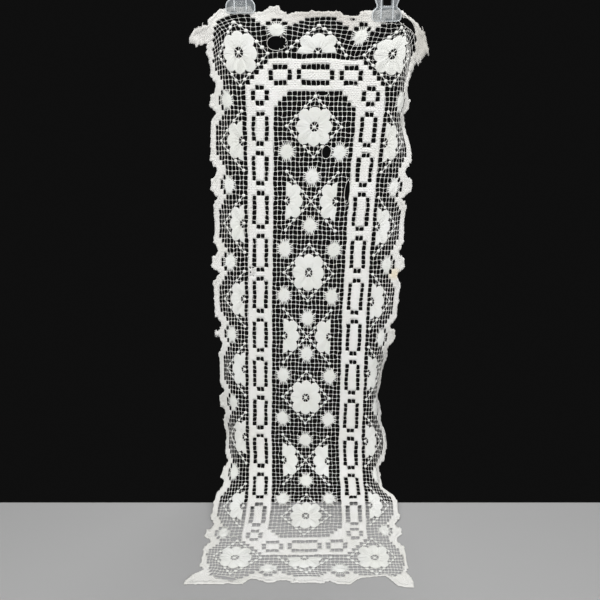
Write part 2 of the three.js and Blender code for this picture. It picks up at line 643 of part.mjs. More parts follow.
// The clip as blocks from level to level, three across its depth, with the middle ones left out in the slot
function clipGeometry(bite) {
  const slot = SHEET_THICKNESS / 2 + CLIP_GAP;
  const ceiling = bite + CLIP_GAP;
  const heights = [...CLIP_SHAPE.map((p) => p.row), ceiling, CLIP_JAW_LENGTH, CLIP_HEIGHT - CLIP_ROUND];
  const levels = heights.sort((a, b) => a - b);
  const vertices = levels.flatMap((height) => {
    const half = lookUp(CLIP_SHAPE, 'half', height);
    const deep = clipDepth(height, slot);
    const corner = (y) => [-half, y, height - CLIP_HEIGHT, half, y, height - CLIP_HEIGHT];
    return [-deep, -slot, slot, deep].flatMap(corner);
  });
  const walls = new Map();
  const addWall = (corners) => {
    const key = [...corners].sort((a, b) => a - b).join();
    if (walls.has(key)) walls.delete(key);
    else walls.set(key, corners);
  };
  const at = (level, column, side) => (level * 4 + column) * 2 + side;
  for (let k = 0; k < levels.length - 1; k += 1) {
    for (let c = 0; c < 3; c += 1) {
      if (c === 1 && levels[k] < ceiling) continue;
      const low = [at(k, c, 0), at(k, c, 1), at(k, c + 1, 1), at(k, c + 1, 0)];
      const high = [at(k + 1, c, 0), at(k + 1, c, 1), at(k + 1, c + 1, 1), at(k + 1, c + 1, 0)];
      addWall([...low].reverse());
      addWall(high);
      for (let i = 0; i < 4; i += 1) {
        const n = (i + 1) % 4;
        addWall([low[i], low[n], high[n], high[i]]);
      }
    }
  }
  const faces = [...walls.values()].flatMap(([a, b, c, d]) => [a, b, c, a, c, d]);
  const geometry = new THREE.BufferGeometry();
  geometry.setAttribute('position', new THREE.Float32BufferAttribute(vertices, 3));
  geometry.setIndex(faces);
  geometry.computeVertexNormals();
  return geometry;
}

const lace = new THREE.MeshStandardMaterial({ color: 0xdedbd2, roughness: 0.9, metalness: 0 });
const clear = new THREE.MeshStandardMaterial({
  color: 0xc9d3d6,
  roughness: 0.15,
  metalness: 0,
  transparent: true,
  opacity: 0.4,
});

const runner = new THREE.Group();
const cloth = new THREE.Mesh(runnerGeometry(), lace);
cloth.name = 'lace_runner';
runner.add(cloth);
for (const { name, x, bottom } of CLIPS) {
  const clip = new THREE.Mesh(clipGeometry(edgeTopUnder(x) - bottom), clear);
  clip.name = name;
  clip.position.set(x, 0, bottom + CLIP_HEIGHT);
  runner.add(clip);
}

export default runner;
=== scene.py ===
# Looks of a lace table runner that hangs from two clear clips, its lower end lying on the surface below.
import math

import bpy
import numpy as np
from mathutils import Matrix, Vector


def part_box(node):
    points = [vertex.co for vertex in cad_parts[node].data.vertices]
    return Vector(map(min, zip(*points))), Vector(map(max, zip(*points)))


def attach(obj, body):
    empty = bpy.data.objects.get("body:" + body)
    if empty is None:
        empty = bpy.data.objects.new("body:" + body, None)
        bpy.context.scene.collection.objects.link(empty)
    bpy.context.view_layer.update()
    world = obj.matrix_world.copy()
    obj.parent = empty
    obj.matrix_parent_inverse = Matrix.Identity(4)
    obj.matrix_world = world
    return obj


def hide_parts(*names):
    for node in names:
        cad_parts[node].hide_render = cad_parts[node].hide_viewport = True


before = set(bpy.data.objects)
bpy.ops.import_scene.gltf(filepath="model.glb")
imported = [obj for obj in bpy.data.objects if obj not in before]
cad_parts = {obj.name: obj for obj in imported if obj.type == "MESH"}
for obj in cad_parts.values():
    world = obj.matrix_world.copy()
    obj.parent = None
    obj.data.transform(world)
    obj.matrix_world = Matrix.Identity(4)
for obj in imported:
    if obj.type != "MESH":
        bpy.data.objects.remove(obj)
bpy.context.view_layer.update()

MM = 0.001
RNG = np.random.default_rng(21)

# The lace is laid out in net squares, as the solid is: X counts squares across from the left side of the
# centre field, Y counts squares down. place() takes squares to metres. A row and its mirror image at the
# other end add up to LENGTH_SUM. The top edge hangs TOP_EDGE_DROP millimetres below the hanging line.
FIELD_WIDTH = 18
BAND_WIDTH = 6
LENGTH_SUM = 94
MARGIN_WIDTH = 10.6
MIDDLE = FIELD_WIDTH / 2
BAND_EDGE = MIDDLE + BAND_WIDTH
TOP_EDGE_ROW = -20.6
TOP_EDGE_DROP = 38
END_BAND_TOP = -10


def table(columns, rows):
    """A table with named columns, as one array for each name."""
    return dict(zip(columns, np.array(rows, float).T))


# How the runner hangs: lean from the vertical in degrees, height and width of a square in millimetres,
# sideways sway, and fall of each row towards the right
HANG = table(("row", "lean", "high", "wide", "sway", "fall"), [
    (-27, 0, 5.6, 6.6, 0, 0),
    (-17, 0, 5.7, 6.55, 0, 0),
    (-12, -4, 5.8, 6.5, 0, 0.005),
    (-8, -4, 6.7, 6.45, 0, 0.008),
    (0, -5, 6.9, 6.35, -1, 0.01),
    (20, 1, 7.1, 6.1, -6, 0.02),
    (40, 2, 7.2, 6, -10, 0.022),
    (60, 4, 7.2, 6, -12, 0.04),
    (72, 10, 6.9, 6, -13, 0.035),
    (80, 56, 6.4, 6, -12, 0.015),
    (86, 74, 6.8, 6, -12, 0),
    (92, 84, 6.9, 6, -13, -0.012),
    (97, 90, 6.4, 6, -15, -0.03),
    (104, 90, 6.1, 6, -15, -0.005),
    (107, 90, 5.2, 6, -16, 0),
    (122, 90, 5, 6, -16, 0.015),
])

# How the loose margins hang: drawn-in width, swing back and drop of the outer edge, left and right
MARGIN = table(("row", "left", "right", "left_back", "right_back", "left_drop", "right_drop"), [
    (-24, 0.97, 0.78, 0, 0, 36, 58),
    (-18, 0.87, 0.68, 0, 0, 29, 46),
    (-15, 0.72, 0.5, 2, 2, 19, 42),
    (-10, 0.68, 0.47, 5, 6, 8, 26),
    (-4, 0.7, 0.52, 7, 11, 3, 8),
    (2, 0.75, 0.49, 9, 14, 2, 2),
    (8, 0.79, 0.7, 6, 8, 2, -1),
    (15, 0.79, 0.77, 4, 4, 1, -3),
    (23, 0.77, 0.74, 8, 9, 2, -4),
    (31, 0.82, 0.79, 5, 6, 2, -1),
    (39, 0.81, 0.76, 4, 8, 3, -1),
    (48, 0.745, 0.68, 6, 14, 2, 2),
    (55, 0.72, 0.5, 12, 30, 4, 7),
    (60, 0.72, 0.44, 14, 30, 3, 9),
    (66, 0.68, 0.56, 16, 26, 4, 13),
    (71, 0.6, 0.67, 18, 20, 5, 10),
    (79, 0.67, 0.44, 7, 10, 0, 4),
    (87, 0.79, 0.77, 0, 0, 0, 1),
    (97, 0.8, 0.75, 0, 0, 0, 4),
    (105, 0.79, 0.77, 0, 0, 0, 0),
    (109, 0.76, 0.78, 0, 0, 0, 0),
    (112, 0.97, 0.8, 0, 0, 0, 0),
    (122, 1, 0.82, 0, 0, 0, 0),
])

# Where a margin's firm edge starts, as a share of its width, how its gathering eases there, and how steeply
# the swing back and the drop grow outwards
FIRM_FROM = 0.7
FIRM_EASE = 0.7
BACK_BEND = 1.5
DROP_BEND = 3

# Where the two ends are pulled out of true: place, reach, and how far the cloth is moved across and down
PULLS = (
    (-9, -20, 5, -1.8, 0.5),
    (-6, -16, 8, -0.3, -1.3),
    (2, -15, 6.5, 0, -1.5),
    (6, -22, 8, 1, 0),
    (10, -14, 7, 0.5, -0.8),
    (16, -18, 8, 1.7, 0),
    (25, -17, 6, 1.5, 0.3),
    (29, -14, 7, 0, -1.3),
    (-15, 107, 9, 0, -0.9),
    (-8, 116, 8, -0.7, 0),
    (9, 116, 8, 1.4, -1.5),
    (22.5, 115.5, 5, 0, -1.8),
    (27.5, 115.5, 5.5, -0.4, -2.3),
    (31, 115, 5, -2.6, 0),
)

# Places of the motifs, in squares
FULL_FLOWER_ROWS = (3, 33, 61, 91)
FACING_PAIR_ROWS = (18, 47, 76)
CENTRE_BUD_ROWS = (13, 23, 43, 51, 71, 81)
SIDE_BUD_ROWS = (8, 28, 38, 56, 66, 86)
SIDE_COLUMNS = (3, 15)
SCALLOP_ROWS = (-11, 6, 23, 39, 55, 71, 88, 105)
TAB_ROWS = (-2, 15, 31, 47, 63, 79, 96)
SCALLOP_COLUMNS = (-7, 9, 25)
TAB_COLUMNS = (1, 17)
EDGE_FLOWER_COLUMNS = SCALLOP_COLUMNS[::2]
EDGE_BUD_COLUMNS = (-11, 29)
END_FLOWER_ROWS = (SCALLOP_ROWS[0], SCALLOP_ROWS[-1])
END_BUD_ROWS = (-15, 109)
OVALS = ((-5, -2), (0, 6), (8, 14), (16, 23), (25, 32), (34, 41), (43, 50), (52, 59), (61, 68), (70, 77),
         (79, 85), (87, 93), (95, 98))
END_OVALS = ((-1, 3), (5, 12), (14, 18))

# Torn places, in squares: centre, half sizes across and down, and tilt in degrees
TEARS = (
    (1.05, -12.6, 2.05, 1.25, 0),
    (27.7, -18, 3.4, 1.1, 18),
    (14.7, -18.7, 0.55, 0.4, 0),
    (10.45, -3.6, 1.3, 0.5, 0),
    (12, 8, 1.05, 1.2, 0),
    (17.45, 16, 0.55, 2.4, 0),
    (-7.85, 98.3, 0.95, 0.9, 0),
    (-7.9, 112.7, 2.9, 0.55, 13),
)

# A worn place in the left band: centre and half sizes, and the share of its stitches that have gone
WORN_PLACE = (-5.2, 33.1, 0.6, 1)
WORN_SHARE = 0.5

# Frayed edges, in squares: from, to, and the way the loose ends point
FRAYED_EDGES = (
    ((32.6, -21.2), (34.3, -20.8), (0.1, -1)),
    ((-16.8, -21.3), (-14.6, -20.2), (-0.1, -1)),
    ((-17, 46), (-17, 47.6), (-1, 0)),
)

# The net: half widths of its knots and bars and how uneven they are, how far its threads stand off the middle
# of the cloth in millimetres, and how far its bars and knots stray in squares
NET_KNOT = 0.5
NET_BAR = 0.175
NET_UNEVEN = 0.1
NET_LIFT = 0.12
BAR_STRAY = 0.035
KNOT_STRAY = 0.07

# Linen stitch: half sizes and wave of its threads in millimetres, how much wider the crosswise ones are, how
# uneven their width and lift are, how far they stray in squares, and threads to a square
LINEN_WIDE = 1.12
LINEN_THICK = 0.45
LINEN_WAVE = 0.22
LINEN_CROSSWISE = 1.1
LINEN_WIDE_UNEVEN = 0.06
LINEN_LIFT_UNEVEN = 0.05
LINEN_STRAY = 0.02
THIRDS = 3

# How thick the net's threads are down the runner, as a share of their size
NET_FINENESS = table(("row", "share"), [
    (-24, 0.72),
    (-10, 0.78),
    (-3, 1),
    (50, 1),
    (62, 0.86),
    (82, 0.84),
    (92, 1),
    (122, 1),
])


def look_up(rows, key, row):
    """Smooth interpolation in a table that never overshoots its values."""
    x, y = rows["row"], rows[key]
    rise = np.diff(y) / np.diff(x)
    both = rise[:-1] * rise[1:]
    total = np.where(both > 0, rise[:-1] + rise[1:], 1)
    slope = np.concatenate([[0], np.where(both > 0, 2 * both / total, 0), [0]])
    row = np.clip(row, x[0], x[-1])
    i = np.clip(np.searchsorted(x, row, side="right") - 1, 0, len(x) - 2)
    span = x[i + 1] - x[i]
    t = (row - x[i]) / span
    gain = y[i + 1] - y[i]
    start, end = slope[i] * span, slope[i + 1] * span
    return y[i] + t * (start + t * (3 * gain - 2 * start - end + (start + end - 2 * gain) * t))


def hanging_profile():
    """How far forward and down each row has come, and its lean, from the first row of the table."""
    step = 0.05
    rows = np.arange(HANG["row"][0], HANG["row"][-1] + step / 2, step)
    lean = np.radians(look_up(HANG, "lean", rows))
    length = look_up(HANG, "high", rows) * step
    forward = np.cumsum(np.sin(lean) * length) - np.sin(lean) * length
    down = np.cumsum(np.cos(lean) * length) - np.cos(lean) * length
    return {"row": rows, "forward": forward, "down": down, "lean": lean}


PROFILE = hanging_profile()


def profile_at(key, row):
    """A value of the hanging profile at a row."""
    return np.interp(row, PROFILE["row"], PROFILE[key])


def pulled(x, y):
    """Places in squares, moved by the pulls at the two ends."""
    across, down = np.zeros(np.shape(x)), np.zeros(np.shape(x))
    for at_x, at_y, reach, move_x, move_y in PULLS:
        share = np.maximum(0, 1 - ((x - at_x) ** 2 + (y - at_y) ** 2) / reach ** 2) ** 2
        across += share * move_x
        down += share * move_y
    return x + across, y + down


def gathered(far):
    """How much a margin has gathered, from the band outwards: less again in its firm edge."""
    soft = np.minimum(far, FIRM_FROM)
    firm = far - soft
    return soft ** 2 + 2 * FIRM_FROM * firm - FIRM_EASE * firm ** 2


def middle_surface(x, y):
    """The middle of the cloth at a place in squares, in millimetres."""
    x, y = pulled(x, y)
    is_left = x < MIDDLE
    sign = np.where(is_left, -1, 1)

    def margin(key):
        return np.where(is_left, look_up(MARGIN, "left" + key, y), look_up(MARGIN, "right" + key, y))

    inner = np.minimum(np.abs(x - MIDDLE), BAND_EDGE)
    outer = np.maximum(np.abs(x - MIDDLE) - BAND_EDGE, 0)
    far = outer / MARGIN_WIDTH
    drawn_in = MARGIN_WIDTH * (1 - margin("")) * gathered(far) / gathered(1)
    across = sign * look_up(HANG, "wide", y) * (inner + outer - drawn_in)
    back = far ** BACK_BEND * margin("_back")
    along = across * look_up(HANG, "fall", y) + far ** DROP_BEND * margin("_drop")
    lean = profile_at("lean", y)
    forward = profile_at("forward", y) - profile_at("forward", TOP_EDGE_ROW)
    down = profile_at("down", y) - profile_at("down", TOP_EDGE_ROW)
    return np.stack([
        look_up(HANG, "sway", y) + across,
        -forward - np.sin(lean) * along + np.cos(lean) * back,
        -TOP_EDGE_DROP - down - np.cos(lean) * along - np.sin(lean) * back,
    ], -1)


def unit(vectors):
    """Vectors of length one."""
    return vectors / np.maximum(np.linalg.norm(vectors, axis=-1, keepdims=True), 1e-12)


def place(x, y, lift):
    """Points in metres for places in squares, lifted towards the viewer, and the cloth's normals there."""
    step = 0.02
    rightward = middle_surface(x + step, y) - middle_surface(x - step, y)
    downward = middle_surface(x, y + step) - middle_surface(x, y - step)
    normal = unit(np.cross(downward, rightward))
    return (middle_surface(x, y) + normal * lift[:, None]) * MM, normal


# The grid of squares, a little larger than the cloth
FIRST_COLUMN, LAST_COLUMN = -19, 37
FIRST_ROW, LAST_ROW = -24, 118
COLUMNS = LAST_COLUMN - FIRST_COLUMN
ROWS = LAST_ROW - FIRST_ROW

# Uneven knots: sizes across and down in squares, rounds of smoothing, and the parts that neighbours share and
# that each knot has of its own. They move every thread of the cloth, and knot_shift() moves the net further.
UNEVEN_ACROSS, UNEVEN_DOWN = 0.075, 0.065
DRIFT_ROUNDS = 3
DRIFT_SHARE, OWN_SHARE = 0.7, 0.6


def knot_offsets(size):
    """Uneven places of the knots: a slow drift that neighbours share, and a little of each knot's own."""
    drift = RNG.normal(0, 1, (COLUMNS + 1, ROWS + 1))
    for _ in range(DRIFT_ROUNDS):
        drift = (drift + np.roll(drift, 1, 0) + np.roll(drift, -1, 0)
                 + np.roll(drift, 1, 1) + np.roll(drift, -1, 1)) / 5
    own = RNG.normal(0, 1, drift.shape)
    return size * (drift / drift.std() * DRIFT_SHARE + own * OWN_SHARE)


KNOT_X = knot_offsets(UNEVEN_ACROSS)
KNOT_Y = knot_offsets(UNEVEN_DOWN)


def warp(x, y):
    """A place in squares, moved as the knots around it are."""
    i = np.clip(np.floor(x).astype(int) - FIRST_COLUMN, 0, COLUMNS - 1)
    j = np.clip(np.floor(y).astype(int) - FIRST_ROW, 0, ROWS - 1)
    u, v = x - FIRST_COLUMN - i, y - FIRST_ROW - j

    def mix(field):
        top = field[i, j] * (1 - u) + field[i + 1, j] * u
        bottom = field[i, j + 1] * (1 - u) + field[i + 1, j + 1] * u
        return top * (1 - v) + bottom * v

    return x + mix(KNOT_X), y + mix(KNOT_Y)


def tube_quads(first, sides):
    """Faces from rings of points to the next ones, each ring told by its first point."""
    s = np.arange(sides)
    t = (s + 1) % sides
    start = first[:, None]
    after = start + sides
    return np.stack([start + s, start + t, after + t, after + s], -1).reshape(-1, 4)


class Threads:
    """Threads that lie on the cloth, gathered into one mesh. Each has places in squares, a lift from the
    middle of the cloth, and half its width and thickness, in millimetres."""

    def __init__(self, sides):
        self.sides = sides
        self.runs = []

    def add(self, x, y, lift, wide, thick):
        """Add one thread."""
        run = np.column_stack(np.broadcast_arrays(x, y, lift, wide, thick)).astype(float)
        self.runs.append(run)

    def make(self, name):
        """One mesh of all the threads, each a tube with closed ends."""
        counts = np.array([len(run) for run in self.runs])
        ends = np.cumsum(counts) - 1
        starts = ends - counts + 1
        x, y, lift, wide, thick = np.concatenate(self.runs).T
        centre, normal = place(*warp(x, y), lift)
        step = np.diff(centre, axis=0)
        ahead = np.vstack([step, step[-1:]])
        behind = np.vstack([step[:1], step])
        ahead[ends] = behind[ends]
        behind[starts] = ahead[starts]
        along = unit(unit(ahead) + unit(behind))
        side = unit(np.cross(normal, along))
        up = np.cross(along, side)
        turn = 2 * math.pi * np.arange(self.sides) / self.sides
        ring = (centre[:, None]
                + np.cos(turn)[None, :, None] * (wide * MM)[:, None, None] * side[:, None]
                + np.sin(turn)[None, :, None] * (thick * MM)[:, None, None] * up[:, None])
        first = np.setdiff1d(np.arange(len(x)), ends) * self.sides
        quads = tube_quads(first, self.sides)
        s = np.arange(self.sides)
        caps = np.concatenate([starts[:, None] * self.sides + s[::-1], ends[:, None] * self.sides + s])
        run_length = np.concatenate([[0], np.cumsum(np.linalg.norm(step, axis=1))])
        return build_mesh(name, ring.reshape(-1, 3), [quads, caps], np.repeat(run_length, self.sides))


def add_object(name, data):
    """A new object in the scene."""
    added = bpy.data.objects.new(name, data)
    bpy.context.scene.collection.objects.link(added)
    return added


def build_mesh(name, points, face_groups, along=None):
    """A smooth mesh object from arrays of points and faces."""
    mesh = bpy.data.meshes.new(name)
    mesh.vertices.add(len(points))
    mesh.vertices.foreach_set("co", np.asarray(points, np.float32).ravel())
    sizes = np.concatenate([np.full(len(group), group.shape[1]) for group in face_groups])
    corners = np.concatenate([group.ravel() for group in face_groups])
    mesh.loops.add(len(corners))
    mesh.loops.foreach_set("vertex_index", corners.astype(np.int32))
    mesh.polygons.add(len(sizes))
    mesh.polygons.foreach_set("loop_start", (np.cumsum(sizes) - sizes).astype(np.int32))
    mesh.polygons.foreach_set("use_smooth", np.ones(len(sizes), bool))
    if along is not None:
        mesh.attributes.new("along", "FLOAT", "POINT").data.foreach_set("value", along.astype(np.float32))
    mesh.update(calc_edges=True)
    mesh.validate()
    return add_object(name, mesh)


# The scalloped outline, stepped as its squares are: places along the edge, and how many squares out from the
# band it stands there
SCALLOP_SHAPE = ((-5.1, 9.2), (-4.8, 9.8), (-4.1, 9.9), (-3.8, 10.8), (0, 10.6), (3.8, 10.8), (4.1, 9.9),
                 (4.8, 9.8), (5.1, 9.2))
TAB_SHAPE = ((-2, 9.5), (-1.5, 10), (-1.3, 11.1), (1.1, 11.2), (1.6, 10.2), (2, 9.5))
FRAYED_TAB = 47
FRAYED_TAB_SHAPE = ((-1.9, 9), (-1, 9.7), (-0.5, 11.6), (0.2, 11.5), (0.7, 10), (1.9, 9.1))
SCALLOP_END = SCALLOP_SHAPE[-1][0]
TAB_END = TAB_SHAPE[-1][0]
NICK_OUT = 8.8
NICK_UNEVEN = 0.25

# The worn edges of the two ends, place along them and squares out from the band, and the corner tabs, in
# clockwise order
TOP_EDGE = ((-12.5, 10.3), (-10.5, 10.9), (-7.5, 11.3), (-4.5, 10.8), (-3, 9.7), (-1.5, 10.1), (-0.5, 11.4),
            (1, 11.5), (2, 10), (3, 9.4), (4, 10.3), (6.5, 10.4), (12.5, 10.3), (13.5, 9.3), (16, 9.3),
            (16.5, 10.4), (18.5, 10.6), (21.5, 10.8), (24.5, 10.8))
BOTTOM_EDGE = ((-4, 10.9), (-3.5, 9.7), (-2.5, 9), (-1.5, 9.1), (1, 10.3), (2.5, 10.3), (3, 9.5), (4.5, 10.1),
               (5.5, 11.2), (8.5, 11.7), (11.5, 11.6), (13, 10.4), (14.5, 9.6), (16, 10.8), (18.5, 10.7),
               (20, 10.4), (21.5, 9.6), (24.5, 8.7), (27, 8.9), (29.5, 9.3))
UPPER_LEFT_TAB = ((-16.8, -19.2), (-17.1, -22), (-15.4, -20.9), (-13.3, -19.2))
UPPER_RIGHT_TAB = ((26, -20.6), (27.4, -19.9), (29.3, -19.5), (32, -20.3), (33.4, -21.6), (34, -20.8),
                   (34.4, -21.3), (34.4, -19.3), (34.4, -14.8), (34.4, -11), (33.4, -7.5), (32.7, -5.5))
LOWER_RIGHT_TAB = ((34.2, 111.3), (34.9, 113.2), (34.9, 115.8), (32.2, 115.3), (31.2, 114))
LOWER_LEFT_TAB = ((-7, 114.8), (-11.3, 115), (-14.1, 114.9), (-17.3, 115.3), (-16.8, 113.7), (-15.8, 111.5))


def edge_points(frayed=None):
    """Places along a long side and how far out it stands there, its nicks uneven."""
    points = [(s + at, out) for s in SCALLOP_ROWS for at, out in SCALLOP_SHAPE]
    for tab in TAB_ROWS:
        points += [(tab + at, out) for at, out in (FRAYED_TAB_SHAPE if tab == frayed else TAB_SHAPE)]
    for before, after, tab in zip(SCALLOP_ROWS, SCALLOP_ROWS[1:], TAB_ROWS):
        for nick in (before + SCALLOP_END + tab - TAB_END, after - SCALLOP_END + tab + TAB_END):
            points.append((nick / 2, NICK_OUT + RNG.normal(0, NICK_UNEVEN)))
    return sorted(points)


def cloth_outline():
    """The outline of the cloth in squares, clockwise from the top left corner."""
    top = [(at, END_BAND_TOP - out) for at, out in TOP_EDGE]
    right = [(MIDDLE + BAND_EDGE + out, at) for at, out in edge_points() if at > UPPER_RIGHT_TAB[-1][1]]
    bottom = [(at, LENGTH_SUM - END_BAND_TOP + out) for at, out in BOTTOM_EDGE[::-1]]
    left = [(MIDDLE - BAND_EDGE - out, at) for at, out in edge_points(FRAYED_TAB)[::-1]]
    tabs = (UPPER_LEFT_TAB, UPPER_RIGHT_TAB, LOWER_RIGHT_TAB, LOWER_LEFT_TAB)
    sides = (top, right, bottom, left)
    return np.array([point for tab, side in zip(tabs, sides) for point in (*tab, *side)])


OUTLINE = cloth_outline()


def inside_outline(x, y):
    """Whether places in squares lie within the outline."""
    found = np.zeros(np.shape(x), bool)
    for (ax, ay), (bx, by) in zip(OUTLINE, np.roll(OUTLINE, -1, axis=0)):
        if ay == by:
            continue
        crosses = ((ay > y) != (by > y)) & (x < (bx - ax) * (y - ay) / (by - ay) + ax)
        found ^= crosses
    return found


def motif_places():
    """Centres of the rosettes, each with the way that a half one's petals point, and of the buds."""
    rosettes = [(MIDDLE, y, 0, 0) for y in FULL_FLOWER_ROWS]
    for x, way in zip(SIDE_COLUMNS, (1, -1)):
        rosettes += [(x, y, way, 0) for y in FACING_PAIR_ROWS]
    for x, way in zip(EDGE_FLOWER_COLUMNS, (-1, 1)):
        rosettes += [(x, y, way, 0) for y in SCALLOP_ROWS[1:-1]]
        rosettes += [(x, y, 0, 0) for y in END_FLOWER_ROWS]
    rosettes += [(MIDDLE, y, 0, way) for y, way in zip(END_FLOWER_ROWS, (-1, 1))]
    buds = [(MIDDLE, y) for y in CENTRE_BUD_ROWS]
    buds += [(x, y) for x in SIDE_COLUMNS for y in SIDE_BUD_ROWS]
    buds += [(x, y) for x in EDGE_BUD_COLUMNS for y in TAB_ROWS]
    buds += [(x, y) for x in TAB_COLUMNS for y in END_BUD_ROWS]
    return rosettes, buds


ROSETTES, BUDS = motif_places()

# Sizes of the motifs, in squares
HEART = 1.12
NOTCH_REACH = 3.22
PETAL_LOBE = 0.58
CORNER_PETAL_LOBE = 1.05
LOBE_BEND = 0.7
PETALS = 8
DIAMOND = 6
BUD_CORE = 1.2
BUD_CORNER = 0.12
BUD_TIP = 2
HALF_FLOWER_START = 0.1


def petal_reach(angle):
    """How far a rosette's lobed outline stands from its centre: its slanting petals are longer."""
    wave = np.cos(angle * PETALS / 2)
    return NOTCH_REACH + np.abs(wave) ** LOBE_BEND * np.where(wave > 0, PETAL_LOBE, CORNER_PETAL_LOBE)


def under_motif(x, y, spare):
    """Whether places in squares are covered by a darned motif, further than spare from its outline."""
    covered = np.zeros(np.shape(x), bool)
    for cx, cy, way_x, way_y in ROSETTES:
        across, down = x - cx, y - cy
        r = np.hypot(across, down)
        solid = (r > HEART) & (r < petal_reach(np.arctan2(down, across)) - spare)
        if way_x or way_y:
            solid &= across * way_x + down * way_y > HALF_FLOWER_START
        covered |= solid
    for cx, cy in BUDS:
        covered |= np.hypot(x - cx, y - cy) < BUD_CORE - spare
    return covered


# Kinds of square, and how far the open net reaches into the corners
OUTSIDE, OPEN, LINEN, EDGE = range(4)
LEFT_CORNER_NET, RIGHT_CORNER_NET = 9.6, 10.3

# How far the net runs in under a darned motif, in squares
NET_TUCKED_IN = 0.3

# How many squares out from the band the net reaches at a scallop and a tab, and how far along a scallop it
# stays level
NET_AT_SCALLOP, NET_AT_TAB = 8, 7
SCALLOP_LEVEL = 3

# Where the corners of the field and of the bands are cut off slantwise
FIELD_CORNER, BAND_CORNER = 3.9, -10.1

# The open squares round an oval: columns in the left band and rows in the top band
OVAL_INNER_COLUMNS, OVAL_OUTER_COLUMNS = (-4, -3), (-5, -2)
OVAL_INNER_ROWS, OVAL_OUTER_ROWS = (-8, -7), (-9, -6)


def net_reach(place_along, scallops, tabs):
    """How many squares out from the band the open net reaches, at a place along an edge."""
    from_scallop = np.min([np.abs(place_along - s) for s in scallops], axis=0)
    from_tab = np.min([np.abs(place_along - t) for t in tabs], axis=0)
    at_scallop = NET_AT_SCALLOP - np.maximum(0, np.ceil(from_scallop - SCALLOP_LEVEL))
    return np.maximum(at_scallop, NET_AT_TAB - np.floor(from_tab))


def square_kinds():
    """The kind of each square of the grid."""
    x, y = np.meshgrid(np.arange(COLUMNS) + FIRST_COLUMN + 0.5, np.arange(ROWS) + FIRST_ROW + 0.5,
                       indexing="ij")
    from_middle = np.abs(x - MIDDLE)
    near_end = np.minimum(y, LENGTH_SUM - y)
    from_field_end = near_end - (END_BAND_TOP + BAND_WIDTH)
    in_from_side = MIDDLE - from_middle
    field = (in_from_side > 0) & (from_field_end > 0) & (in_from_side + from_field_end > FIELD_CORNER)
    from_band = from_middle - BAND_EDGE
    from_end_band = END_BAND_TOP - near_end
    band = (from_band < 0) & (from_end_band < 0) & (in_from_side + near_end > BAND_CORNER)
    beside = from_band < 1 + net_reach(y, SCALLOP_ROWS, TAB_ROWS)
    beyond = from_end_band < 1 + net_reach(x, SCALLOP_COLUMNS, TAB_COLUMNS)
    corner = np.hypot(from_band, from_end_band) < np.where(x < MIDDLE, LEFT_CORNER_NET, RIGHT_CORNER_NET)
    margin = np.where(from_band > 0, np.where(from_end_band > 0, corner, beside), beyond)
    inside = inside_outline(x, y)
    kinds = np.where(inside, EDGE, OUTSIDE)
    kinds[margin & inside] = OPEN
    kinds[band] = LINEN
    kinds[field] = OPEN
    for i, j in oval_squares():
        kinds[i - FIRST_COLUMN, j - FIRST_ROW] = OPEN
    return kinds


def oval_squares():
    """The open squares of the bands, with their mirror images."""
    found = []
    for top, bottom in OVALS:
        found += [(i, j) for i in OVAL_INNER_COLUMNS for j in (top, bottom)]
        found += [(i, j) for i in OVAL_OUTER_COLUMNS for j in range(top + 1, bottom)]
    found += [(FIELD_WIDTH - 1 - i, j) for i, j in found]
    ends = []
    for start, stop in END_OVALS:
        ends += [(i, j) for i in (start, stop) for j in OVAL_INNER_ROWS]
        ends += [(i, j) for i in range(start + 1, stop) for j in OVAL_OUTER_ROWS]
    found += ends + [(i, LENGTH_SUM - 1 - j) for i, j in ends]
    return found


KINDS = square_kinds()
KNOT_SHIFTS = RNG.normal(0, KNOT_STRAY, (2, KINDS.shape[0] + 1, KINDS.shape[1] + 1))


def knot_shift(x, y):
    """How far places on the net's threads stray, across and down, with the knots beside them."""
    i, j = x - FIRST_COLUMN, y - FIRST_ROW
    before = KNOT_SHIFTS[:, np.floor(i).astype(int), np.floor(j).astype(int)]
    after = KNOT_SHIFTS[:, np.ceil(i).astype(int), np.ceil(j).astype(int)]
    return (before + after) / 2


def torn(x, y):
    """Whether places in squares lie in a torn place."""
    gone = np.zeros(np.shape(x), bool)
    for at_x, at_y, half_across, half_down, tilt in TEARS:
        c, s = math.cos(math.radians(tilt)), math.sin(math.radians(tilt))
        u = ((x - at_x) * c + (y - at_y) * s) / half_across
        v = ((y - at_y) * c - (x - at_x) * s) / half_down
        gone |= u ** 2 + v ** 2 < 1
    return gone


def runs_of(flags):
    """Start of each run of true values, and the index after its end."""
    edges = np.flatnonzero(np.diff(np.concatenate([[0], flags.astype(int), [0]])))
    return zip(edges[::2], edges[1::2])


def add_net_line(threads, x, y, down):
    """One thread of the net along its knots and the bars between them, broken where the net is torn."""
    knot = np.arange(len(x)) % 2 == 0
    wide = np.where(knot, NET_KNOT, NET_BAR) * (1 + RNG.normal(0, NET_UNEVEN, len(x)))
    wide *= look_up(NET_FINENESS, "share", y)
    stray = np.where(knot, 0, RNG.normal(0, BAR_STRAY, len(x)))
    lift = np.where(knot, NET_LIFT if down else -NET_LIFT, RNG.normal(0, NET_LIFT, len(x)))
    shift_x, shift_y = knot_shift(x, y)
    x, y = x + shift_x, y + shift_y
    x, y = (x + stray, y) if down else (x, y + stray)
    for start, stop in runs_of(~torn(x, y)):
        if stop - start > 1:
            part = slice(start, stop)
            threads.add(x[part], y[part], lift[part], wide[part], wide[part])


